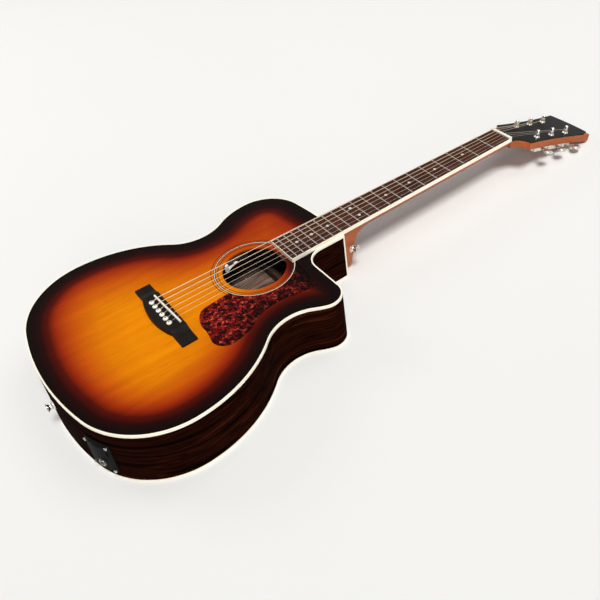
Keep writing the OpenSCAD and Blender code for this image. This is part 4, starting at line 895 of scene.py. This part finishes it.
def string_finish(name, rgb, turns):
    """Wire: where it is wound, the height rises and falls turns times a metre along its length, and the
    tone darkens in the low grooves between the turns as painted shade.
    """
    mat, tree, shader, vector = material(name)
    wound_bump, wound_high = 0.12, 0.00004
    polish = use(tree, polish_group(), Vector=vector, Roughness=0.48, Swing=0.10, Mark_scale=90.0)
    shade = ramp(tree, polish["Marks"], tones(rgb, (0.3, 0.86), (0.6, 1), (0.8, 1.05)))
    if turns:
        wave = maths(tree, "SINE", maths(tree, "MULTIPLY", attribute(tree, "run"), turns * TURN))
        height = maths(tree, "ADD", maths(tree, "MULTIPLY", wave, 0.5), 0.5)
        # Painted shade: the tone darkens toward 0.4 of the wire's colour in the low grooves between the
        # turns.
        shade = blend(tree, between(tree, height, 0.0, 0.35, 0.30, 0.0), shade, scaled(rgb, 0.4))
        wire(tree, shader, shade, polish["Roughness"], height, wound_bump, wound_high)
    else:
        wire(tree, shader, shade, polish["Roughness"], polish["Height"])
    shader.inputs["Metallic"].default_value = 1.0
    return mat


def cell_finish():
    """Battery can: a dark jacket with a copper-coloured band at its outer end, measured along the drawer's
    way out."""
    mat, tree, shader, vector = material("battery can")
    band_wide, band_edge, copper = 0.014, 0.0005, (0.50, 0.24, 0.10)
    way = next(joint["axis"] for joint in frame["joints"] if joint["name"] == "tray_slide")
    end = max(Vector(way).dot(v.co) for v in frame["nodes"]["battery"].data.vertices)
    along = vectors(tree, "DOT_PRODUCT", object_place(tree), tuple(way), "Value")
    band = between(tree, along, end - band_wide, end - band_wide + band_edge)
    jacket = ramp(tree, noise(tree, vector, 60.0), [(0.3, (0.02, 0.02, 0.022)), (0.7, (0.035, 0.035, 0.04))])
    polished(tree, shader, vector, blend(tree, band, jacket, copper), 0.28, 0.1)
    return mat


def paint(mat, *nodes):
    """Gives solid-model nodes one finish."""
    for name in nodes:
        mesh = frame["nodes"][name].data
        mesh.materials.clear()
        mesh.materials.append(mat)


# operators

class GUITAR_OT_soundboard(bpy.types.Operator):
    """Soundboard with its sunburst, as rows of points from the soundhole's edge out to the body's edge"""

    bl_idname = "guitar.soundboard"
    bl_label = "Soundboard"

    def execute(self, context):
        b, p = own("body"), layout()
        edge_points, rim_points, fan_rows, past_rings = 900, 2400, 64, 0.0014
        edge = outline(p, b.side_thick, edge_points)
        w = np.arctan2(edge[:, 1] - p.hole[1], edge[:, 0] - p.hole[0])
        way = np.c_[np.cos(w), np.sin(w)]
        low, high, channel = -b.top_thick, 0.0, -b.ring_deep
        level = lambda line, z: np.c_[line, np.full(len(line), z)]
        steps = [(0, low), (0, high)]
        ring_edges = list(b.ring_edges)
        for inner, outer in zip(ring_edges[::2], ring_edges[1::2]):
            steps += [(inner, high), (inner, channel), (outer, channel), (outer, high)]
        steps.append((outer + past_rings, high))
        rows = [level(p.hole + way * (b.hole_radius + r), z) for r, z in steps]
        fan = [rows[-1] + (level(edge, high) - rows[-1]) * f for f in np.linspace(0, 1, fan_rows)[1:]]
        surface = np.stack(rows + fan + [level(edge, low)])
        rim_line = outline(p, 0.0, rim_points)
        nearest = lambda row: np.sqrt(((row[:, None, :2] - rim_line) ** 2).sum(-1).min(1))
        rim = np.stack([nearest(row) for row in surface])
        piece = mesh_piece("soundboard_top", [(to_frame(p, surface), True, False, 0)], [sunburst_finish()],
                           "guitar", values={"rim": rim})
        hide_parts("soundboard")
        return {"FINISHED"}


class GUITAR_OT_body(bpy.types.Operator):
    """Finishes of back, sides, edges, inside, rosette and pickguard"""

    bl_idname = "guitar.body"
    bl_label = "Body"

    def execute(self, context):
        c = own("finishes")
        spruce = plain_wood_finish("bare spruce", c.bare_spruce, 0.16, 0.6, pores=0.2, turned=True)
        blocks = plain_wood_finish("bare blocks", c.bare_blocks, 0.2, 0.6)
        paint(dark_wood_finish("dark striped sides", False), "bass_side", "treble_side")
        paint(dark_wood_finish("dark striped back", True), "back")
        paint(ivory_finish(), "top_binding", "back_binding", "cutaway_strip", "fretboard_binding")
        paint(spruce, "top_braces", "bridge_plate")
        # Painted shade: the back's braces get dark wood because they stand in shadow inside the body.
        paint(plain_wood_finish("back braces painted shade", c.shaded_braces, 0.2, 0.6, turned=True), "back_braces")
        paint(blocks, "neck_block", "tail_block", "linings")
        paint(ring_finish(), "rosette")
        paint(tortoise_finish(), "pickguard")
        return {"FINISHED"}


class GUITAR_OT_neck(bpy.types.Operator):
    """Neck with heel and headstock, as one smooth surface in place of the faceted solid"""

    bl_idname = "guitar.neck"
    bl_label = "Neck"

    def shaft(self, p):
        """Half ellipses along the neck: at x the half width follows the fretboard and the depth follows the
        neck, then a sweep of the heel's radius, then a straight heel; the foot is cut level with the back,
        and the last row lies on the body's round front."""
        b, n = own("body"), own("neck")
        past_nut, before_heel, into_body, above_floor = 0.012, 0.010, 0.006, 0.001
        head_thinner, heel_share, foot_share, sweep_turn = 0.001, 1.14, 1.16, 75
        first_x, last_x = -n.nut_thick - past_nut, p.start + into_body
        heel_x = p.start - n.heel_foot
        sweep_x = heel_x - n.heel_sweep - before_heel
        w = np.radians(np.linspace(0, sweep_turn, 28))
        end_x, end_d = sweep_x + n.heel_sweep * np.sin(w), n.deep_heel + n.heel_sweep * (1 - np.cos(w))
        x = np.r_[
            np.linspace(first_x, 0, 8)[:-1], np.linspace(0, sweep_x, 60)[:-1], end_x,
            end_x[-1] + (heel_x - end_x[-1]) * np.linspace(0, 1, 22)[1:],
            np.linspace(heel_x, last_x, 16)[1:]]
        known_x = np.r_[first_x, 0, end_x, heel_x, last_x]
        known_d = np.r_[n.deep_nut - head_thinner, n.deep_nut, end_d, b.neck_depth * heel_share,
                        b.neck_depth * foot_share]
        deep, half = np.interp(x, known_x, known_d)[:, None], p.half(x)[:, None]
        a = np.linspace(-QUARTER, QUARTER, 72)
        top = np.linspace(1, -1, 14)[1:-1]
        y = np.hstack([half * np.sin(a), half * top])
        z = np.hstack([-deep * np.cos(a), np.zeros((len(x), len(top)))])
        xs = np.repeat(x[:, None], y.shape[1], 1)
        front = p.front_c[0] - np.sqrt(p.front_r**2 - y**2)
        xs = np.where(xs > heel_x, heel_x + (xs - heel_x) * (front - heel_x) / (last_x - heel_x), xs)
        floor = -b.tail_depth + (p.tail - xs) * math.tan(p.taper) + above_floor
        slope, veneer = math.tan(n.head_pitch), n.veneer_thick / math.cos(n.head_pitch)
        face = n.head_face - (-n.nut_thick - xs) * slope - veneer
        z = np.maximum(z, floor)
        z = np.where(xs < -n.nut_thick, np.minimum(z, face), z)
        return self.seat(p, np.stack([xs, y, z], -1))

    def seat(self, p, points):
        """Flattens the heel under the strap button: points outside the seat's plane move back to it, wholly
        within the washer's radius and less and less in a narrow band round it."""
        n = own("neck")
        seat_back, seat_out, seat_radius, band = 0.016, 0.021, 0.0095, 0.0022
        centre = np.array([p.start - seat_back, seat_out, -n.button_down])
        out = np.array([-math.sin(n.button_turn), math.cos(n.button_turn), 0])
        rel = points - centre
        ahead = rel @ out
        away = np.linalg.norm(rel - ahead[..., None] * out, axis=-1)
        share = ease((seat_radius - away) / band)
        return points - (np.clip(ahead, 0, None) * share)[..., None] * out

    def head(self):
        """The headstock's plate: its outline carried from the veneer down to the back, where the edge is
        rounded by drawing the outline in along its own normal."""
        n = own("neck")
        run, edge_radius, edge_points = 0.008, 0.0012, 420
        half = n.nut_width / 2
        flare_end = -math.asin((half + n.head_curve - n.head_shoulder) / n.head_curve)
        flare = arc((run, half + n.head_curve), n.head_curve, -QUARTER, flare_end, 20)
        corner, other = (n.head_length, n.head_end), (n.head_length, -n.head_end)
        side = bow(flare[-1], corner, n.head_waist - (n.head_shoulder + n.head_end) / 2, 40)
        end = bow(corner, other, n.head_crown, 30)
        upper = np.vstack([[[0, half]], flare, side[1:]])
        line = even(np.vstack([upper, end[1:-1], upper[::-1] * [1, -1]]), edge_points)
        way = np.roll(line, -1, 0) - np.roll(line, 1, 0)
        normal = np.c_[way[:, 1], -way[:, 0]] / np.linalg.norm(way, axis=1, keepdims=True)
        if ((line - line.mean(0)) * normal).sum() > 0:
            normal = -normal
        w = np.linspace(0, QUARTER, 6)
        drawn = np.r_[0, edge_radius * (1 - np.cos(w))]
        high = np.r_[-n.veneer_thick, -n.head_thick + edge_radius * (1 - np.sin(w))]
        rows = [np.c_[line + normal * d, np.full(len(line), z)] for d, z in zip(drawn, high)]
        return from_head(np.stack(rows))

    def execute(self, context):
        p, c = layout(), own("finishes")
        wood = plain_wood_finish("mahogany neck", c.mahogany, 0.22, 0.42, coat=0.15, pores=0.55)
        grids = [(to_frame(p, shape), False, True, 0) for shape in (self.shaft(p), self.head())]
        piece = mesh_piece("neck_wood", grids, [wood], "guitar", 40)
        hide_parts("neck")
        black = plain_wood_finish("black headstock face", scaled(c.black, 0.4), 0.2, 0.3, coat=0.02,
                                  pores=0.1, shine=0.02)
        steel = metal_finish("bright steel", c.steel, 0.22)
        paint(black, "headstock_veneer")
        paint(steel, "truss_rod", "saddle_pickup", "strap_screws", "plate_screws")
        return {"FINISHED"}


class GUITAR_OT_fretboard(bpy.types.Operator):
    """Finishes of fretboard, frets, jack, position dots, nut and saddle"""

    bl_idname = "guitar.fretboard"
    bl_label = "Fretboard"

    def execute(self, context):
        c = own("finishes")
        board = plain_wood_finish("oiled fretboard", c.board, 0.42, 0.5, pores=0.7, bands=110.0, shine=0.02)
        paint(board, "fretboard")
        paint(metal_finish("nickel frets", c.fret_wire, 0.26, 0.12), "frets", "jack_socket")
        paint(pearl_finish(), "position_dots")
        paint(plastic_finish("bone nut and saddle", c.bone, 0.28, coat=0.4), "nut", "saddle")
        return {"FINISHED"}


class GUITAR_OT_bridge(bpy.types.Operator):
    """Bridge with rounded edges, and the finish of its pins"""

    bl_idname = "guitar.bridge"
    bl_label = "Bridge"

    def block(self):
        """A cross-section carried along the bridge. At y the front is straight, the rear swells by the
        belly's circle, and the top drops from the middle to the wings on a circle; the section is a
        rectangle with two rounded upper corners, and its last rows draw in to round the ends."""
        s, n = own("bridge"), own("neck")
        half = s.long / 2
        core = np.linspace(-half + s.edge, half - s.edge, 240)
        lead = half - s.edge + s.edge * np.sin(np.linspace(0, QUARTER, 7)[1:])
        y = np.r_[-lead[::-1], core, lead]
        out = np.abs(y)
        belly_r = (s.belly_half**2 + s.belly_deep**2) / (2 * s.belly_deep)
        swell = np.sqrt(np.maximum(belly_r**2 - y**2, 0)) + s.belly_deep - belly_r
        flat = half - s.wing_flat
        rise = s.wing + fall_off(s.scoop, flat - out)
        top = np.minimum(np.where(out > flat, s.wing, rise), s.high) - fall_off(s.edge, out - (half - s.edge))
        nip = fall_off(s.corner, out - (half - s.corner))
        straight = n.scale_length - s.ahead
        front, rear = straight + nip, straight + s.wide + np.maximum(swell, 0) - nip
        w = np.linspace(0, QUARTER, 6)
        rising, level = s.edge * (1 - np.cos(w)), s.edge * (1 - np.sin(w))
        xs = [front, *[front + d for d in rising], *[rear - d for d in level], rear]
        zs = [top * 0, *[top - d for d in level], *[top - d for d in rising], top * 0]
        return np.stack([np.stack(xs, 1), np.repeat(y[:, None], len(xs), 1), np.stack(zs, 1)], -1)

    def execute(self, context):
        wood = plain_wood_finish("black bridge wood", own("finishes").black, 0.35, 0.36, coat=0.05, pores=0.4,
                                 turned=True, shine=0.03)
        grids = [(to_frame(layout(), self.block()), False, True, 0)]
        piece = mesh_piece("bridge_block", grids, [wood], "guitar", 30)
        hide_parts("bridge")
        paint(pin_finish(), "bridge_pins")
        return {"FINISHED"}


class GUITAR_OT_strings(bpy.types.Operator):
    """Strings and their windings on the posts"""

    bl_idname = "guitar.strings"
    bl_label = "Strings"

    def rank(self, i):
        """Steps of string i from the middle of the strings."""
        return i - (STRINGS - 1) / 2

    def touch(self, i):
        """Where string i meets its post: the post's place and side, the winding's radius, and the direction
        of the point where the line to the nut is tangent to the winding."""
        t = own("tuners")
        clear = 0.00005
        post, side = post_at(i)
        wind = t.post_radius + t.string_radius[i] + clear
        d = np.array([0, -self.rank(i) * t.nut_pitch]) - post
        return post, side, wind, angle(d) + side * math.acos(wind / np.linalg.norm(d))

    def path(self, i):
        """The string's way in the soundboard's frame: straight from the post's winding to the nut, over the
        saddle, into the pin's hole and down to its ball end under the bridge plate."""
        b, n, t, s = own("body"), own("neck"), own("tuners"), own("bridge")
        above_frets, clear, pin_near = 0.00035, 0.00003, 0.00185
        bass_back, treble_back = 0.0033, 0.0007
        beside_nut, beside_ends = np.array([[0.0], [0.96], [0.99], [1.0]]), np.array([[0.004], [0.996]])
        r = t.string_radius[i]
        y0, y1 = self.rank(i) * t.nut_pitch, self.rank(i) * t.string_pitch
        rest = r + clear
        slot = n.board_thick + n.fret_height + above_frets + rest
        slant = (bass_back - treble_back) / (t.string_pitch * (STRINGS - 1))
        saddle_x = n.scale_length + (bass_back + treble_back) / 2 - y1 * slant
        pin_x = n.scale_length + s.pin_behind - pin_near
        crest, under = s.high + s.saddle_high, -b.top_thick - s.plate_thick
        post, _, wind, w = self.touch(i)
        leave = from_head([post[0] + wind * math.cos(w), post[1] + wind * math.sin(w), t.leave_high])
        nut_back, nut = np.array([-n.nut_thick, y0, slot]), np.array([0, y0, slot])
        saddle = np.array([saddle_x, y1, crest + rest])
        way = np.vstack([
            leave + (nut_back - leave) * beside_nut, nut, nut + (saddle - nut) * beside_ends, saddle,
            [saddle_x + (pin_x - saddle_x) * 0.75, y1, crest + (s.high - crest) * 0.62 + rest],
            [pin_x - 0.0003, y1, s.high + 0.0009], [pin_x, y1, s.high - 0.0006], [pin_x, y1, under - 0.0001],
            [pin_x - 0.0008, y1, under - 0.0017], [pin_x - 0.0015, y1, under - 0.0022],
            [pin_x - 0.0021, y1, under - 0.0025], [pin_x - 0.0033, y1, under - 0.0025],
            [pin_x - 0.0039, y1, under - 0.0025]])
        ball = (0.0012, 0.0019, 0.0019, 0.0012)
        return way, np.r_[np.full(len(way) - len(ball), r), ball]

    def coil(self, i):
        """The winding: a circle round the post that stays level and steps up by one wire and a gap within the
        last part of each loop, with its end tucked into the post's side."""
        t = own("tuners")
        loop_points, stepping, tucking, tucked = 72, 0.28, 0.12, 0.0006
        r, loops = t.string_radius[i], t.string_loops[i]
        post, side, wind, w = self.touch(i)
        a = np.linspace(0, loops * TURN, loops * loop_points + 1)
        lap = a / TURN
        level = np.floor(lap) + ease((lap - np.floor(lap) - (1 - stepping)) / stepping)
        tuck = np.clip((lap - loops + tucking) / tucking, 0, 1)
        wide = wind - tuck * (r + tucked)
        return np.c_[post[0] + wide * np.cos(w + side * a), post[1] + wide * np.sin(w + side * a),
                     t.leave_high + level * (2 * r + t.loop_gap)]

    def execute(self, context):
        t, p, c = own("tuners"), layout(), own("finishes")
        wound_turns, sides = 2600, 12
        bronze = string_finish("wound bronze", c.bronze_wire, wound_turns)
        steel = string_finish("plain steel wire", c.plain_wire, 0)
        across, up = np.array([0.0, 1.0, 0.0]), np.array([0.0, 0.0, 1.0])
        grids, runs = [], []
        for i in range(STRINGS):
            way, radii = self.path(i)
            tube = rings(to_frame(p, way), radii, sides, across)
            grids.append((tube, False, True, 0 if i < WOUND_STRINGS else 1))
            runs.append(np.repeat(run_along(way), sides))
        piece = mesh_piece("strings_wire", grids, [bronze, steel], "guitar", 60,
                           values={"run": np.concatenate(runs)})
        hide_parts("strings")
        for i in range(STRINGS):
            way = self.coil(i)
            tube = rings(way, np.full(len(way), t.string_radius[i]), sides, up)
            piece = mesh_piece(f"winding_wire_{i + 1}", [(to_frame(p, from_head(tube)), False, True, 0)],
                               [bronze if i < WOUND_STRINGS else steel], f"post_{i + 1}", 60,
                               values={"run": np.repeat(run_along(way), sides)})
            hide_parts(f"winding_{i + 1}")
        return {"FINISHED"}


class GUITAR_OT_tuners(bpy.types.Operator):
    """Tuner keys with rounded buttons, and the finish of posts, bushings and housings"""

    bl_idname = "guitar.tuners"
    bl_label = "Tuners"

    def button(self):
        """A flattened round button: a superellipsoid whose half sizes are half its length, its radius and
        half its thickness, pinched a little beside the shaft."""
        t = own("tuners")
        pinch, pinch_long = 0.16, 0.2
        v = np.linspace(-QUARTER, QUARTER, 40)[1:-1, None]
        u = np.linspace(0, TURN, 56, endpoint=False)[None]
        power = lambda c, e: np.sign(c) * np.abs(c) ** e
        ring = power(np.cos(v), 0.75)
        along = power(np.sin(v), 0.85) * t.button_long / 2 + 0 * u
        waist = 1 - pinch * np.exp(-((along / t.button_long + 0.5) / pinch_long) ** 2)
        wide = ring * power(np.cos(u), 0.9) * t.button_radius * waist
        thick = ring * power(np.sin(u), 0.7) * t.button_thick / 2
        return np.stack([along + t.key_reach + t.button_long / 2, wide, thick], -1)

    def shaft(self):
        """The key's shaft, turned: a thick end in the housing, a slim neck and a collar at the button."""
        out, reach = own("tuners").housing_out, own("tuners").key_reach
        return lathe([
            (-0.0045, 0.0024), (out + 0.0006, 0.0026), (out + 0.001, 0.0022), (out + 0.0011, 0.0018),
            (reach - 0.003, 0.0016), (reach - 0.0016, 0.0018), (reach - 0.001, 0.0027),
            (reach + 0.0004, 0.0030), (reach + 0.0016, 0.0026)])

    def execute(self, context):
        t, n, p = own("tuners"), own("neck"), layout()
        nickel = metal_finish("nickel plate", own("finishes").nickel, 0.15)
        for i in range(STRINGS):
            post, side = post_at(i)
            grids = []
            for shape in (self.shaft(), self.button()):
                local = np.stack([post[0] + t.worm_off + shape[..., 1], post[1] + side * shape[..., 0],
                                  -n.head_thick - t.worm_drop + shape[..., 2]], -1)
                local = local if side > 0 else local[:, ::-1]
                grids.append((to_frame(p, from_head(local))[:, ::-1], False, True, 0))
            piece = mesh_piece(f"tuner_button_{i + 1}", grids, [nickel], f"key_{i + 1}", 50)
            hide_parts(f"tuner_key_{i + 1}")
        posts = [f"tuner_post_{i + 1}" for i in range(STRINGS)]
        paint(nickel, "tuner_housings", "tuner_bushings", "tuner_screws", "strap_buttons", *posts)
        return {"FINISHED"}


class GUITAR_OT_fittings(bpy.types.Operator):
    """Finishes of jack plate, battery drawer, battery, control unit, wheels and washers"""

    bl_idname = "guitar.fittings"
    bl_label = "Fittings"

    def execute(self, context):
        c = own("finishes")
        moulded = plastic_finish("black moulded plastic", c.moulded, 0.42, grainy=0.06, shine=0.015)
        paint(moulded, "jack_plate", "battery_drawer")
        paint(plastic_finish("white plastic", c.washers, 0.35), "strap_washers")
        paint(plastic_finish("dark wheels", c.wheels, 0.35), "volume_wheel", "tone_wheel")
        paint(unit_finish(), "control_unit")
        paint(cell_finish(), "battery")
        return {"FINISHED"}


class GUITAR_OT_stage(bpy.types.Operator):
    """Pale floor, soft studio light and the camera"""

    bl_idname = "guitar.stage"
    bl_label = "Stage"

    def floor(self):
        """One level square just under the guitar, so wide that its edge is out of sight."""
        wide, below = 30.0, 0.0004
        corners = [(x * wide, y * wide, -below) for x, y in ((-1, -1), (1, -1), (1, 1), (-1, 1))]
        mesh = bpy.data.meshes.new("studio_floor")
        mesh.from_pydata(corners, [], [(0, 1, 2, 3)])
        mat = bpy.data.materials.new("pale floor")
        mat.use_nodes = True
        tree = mat.node_tree
        shader = tree.nodes["Principled BSDF"]
        cloud = noise(tree, object_place(tree), 1.5)
        shade = ramp(tree, cloud, tones(own("finishes").floor, (0.3, 0.99), (0.7, 1)))
        tree.links.new(shade, shader.inputs["Base Color"])
        shader.inputs["Roughness"].default_value = 0.7
        mesh.materials.append(mat)
        floor = bpy.data.objects.new("studio_floor", mesh)
        bpy.context.scene.collection.objects.link(floor)

    def world(self):
        """A dim room, paler toward the horizon, for soft light; the camera and mirrored rays see the floor's
        colour instead."""
        world = bpy.data.worlds.new("studio")
        bpy.context.scene.world = world
        world.use_nodes = True
        tree = world.node_tree
        height = axes(tree, add(tree, "ShaderNodeTexCoord").outputs["Generated"])[2]
        room = ((0.0, 0.22), (0.10, 0.12), (0.30, 0.05), (0.5, 0.03))
        dim = ramp(tree, height, [(z, (v, v, v)) for z, v in room])
        ray = add(tree, "ShaderNodeLightPath").outputs
        mirrored = maths(tree, "MAXIMUM", ray["Is Glossy Ray"], ray["Is Transmission Ray"])
        seen = maths(tree, "MAXIMUM", ray["Is Camera Ray"], mirrored)
        shade = blend(tree, seen, dim, scaled(own("finishes").floor, 0.95))
        tree.links.new(shade, tree.nodes["Background"].inputs["Color"])

    def lamp(self, name, kind, place, aim, power, tint=(1, 1, 1), **sizes):
        """One lamp at its place, turned to its aim."""
        data = bpy.data.lights.new(name, kind)
        data.energy, data.color = power, tint
        for key, value in sizes.items():
            setattr(data, key, value)
        lamp = bpy.data.objects.new(name, data)
        lamp.location = place
        lamp.rotation_euler = (Vector(aim) - Vector(place)).to_track_quat("-Z", "Y").to_euler()
        bpy.context.scene.collection.objects.link(lamp)

    def camera(self):
        """The place and the directions found from the frets, dots and edges in the picture, in the
        soundboard's frame; the lens is the focal length in pixels over the picture's width."""
        p = layout()
        eye, focal_pixels, picture_pixels, sensor = (0.893381, 0.843224, 0.762908), 803.283, 600, 36.0
        turned = lambda v: to_frame(p, v) - to_frame(p, (0, 0, 0))
        right, ahead = turned((-0.81616, 0.56548, -0.11881)), turned((-0.35314, -0.65088, -0.67205))
        ahead /= np.linalg.norm(ahead)
        right -= ahead * (right @ ahead)
        right /= np.linalg.norm(right)
        up = np.cross(right, ahead)
        data = bpy.data.cameras.new("camera")
        data.sensor_width, data.lens = sensor, focal_pixels / picture_pixels * sensor
        data.clip_start, data.clip_end = 0.05, 200
        cam = bpy.data.objects.new("camera", data)
        rows = np.c_[right, up, -ahead, to_frame(p, eye)]
        cam.matrix_world = Matrix([*rows.tolist(), (0, 0, 0, 1)])
        bpy.context.scene.collection.objects.link(cam)
        bpy.context.scene.camera = cam

    def execute(self, context):
        context.scene.view_settings.view_transform = "Standard"
        self.world()
        self.floor()
        self.camera()
        self.lamp("key lamp", "SUN", (0.32, 1.14, 2.4), aim=(0.1, 0, 0), power=2.95, tint=(1, 0.985, 0.96),
                  angle=math.radians(18))
        self.lamp("string lamp", "AREA", (-1.1, 0.1, 2.6), aim=(0.05, 0, 0), power=14, shape="DISK", size=2.0)
        self.lamp("fill lamp", "SUN", (1.2, 2.4, 1.0), aim=(0.2, 0, 0), power=0.55, angle=math.radians(40))
        self.lamp("fret lamp", "AREA", (1.2, -1.75, 1.5), aim=(0, 0, 0), power=8, shape="DISK", size=1.2)
        return {"FINISHED"}


class GUITAR_PT_panel(bpy.types.Panel):
    """The guitar's pieces, in the order in which they are made"""

    bl_idname = "GUITAR_PT_panel"
    bl_label = "Guitar"
    bl_space_type = "VIEW_3D"
    bl_region_type = "UI"
    bl_category = "Guitar"

    def draw(self, context):
        for operator in OPERATORS:
            self.layout.operator(operator.bl_idname)
        for key in GROUPS:
            box = self.layout.box()
            box.label(text=key.replace("_", " "))
            group_of = getattr(context.scene, key)
            for name in group_of.__annotations__:
                box.prop(group_of, name)


GROUPS = {
    "guitar_body": BodySizes,
    "guitar_neck": NeckSizes,
    "guitar_tuners": TunerSizes,
    "guitar_bridge": BridgeSizes,
    "guitar_finishes": Finishes,
}
OPERATORS = (
    GUITAR_OT_soundboard, GUITAR_OT_body, GUITAR_OT_neck, GUITAR_OT_fretboard, GUITAR_OT_bridge,
    GUITAR_OT_strings, GUITAR_OT_tuners, GUITAR_OT_fittings, GUITAR_OT_stage,
)


def register():
    """Makes the classes known and gives the scene its groups of sizes and colours."""
    for cls in (*GROUPS.values(), *OPERATORS, GUITAR_PT_panel):
        bpy.utils.register_class(cls)
    for key, cls in GROUPS.items():
        setattr(bpy.types.Scene, key, PointerProperty(type=cls))


def unregister():
    """Takes the groups and the classes away again."""
    for key in GROUPS:
        delattr(bpy.types.Scene, key)
    for cls in (GUITAR_PT_panel, *reversed(OPERATORS), *reversed(list(GROUPS.values()))):
        bpy.utils.unregister_class(cls)


def main():
    register()
    for operator in OPERATORS:
        category, name = operator.bl_idname.split(".")
        getattr(getattr(bpy.ops, category), name)()


if __name__ == "__main__":
    main()
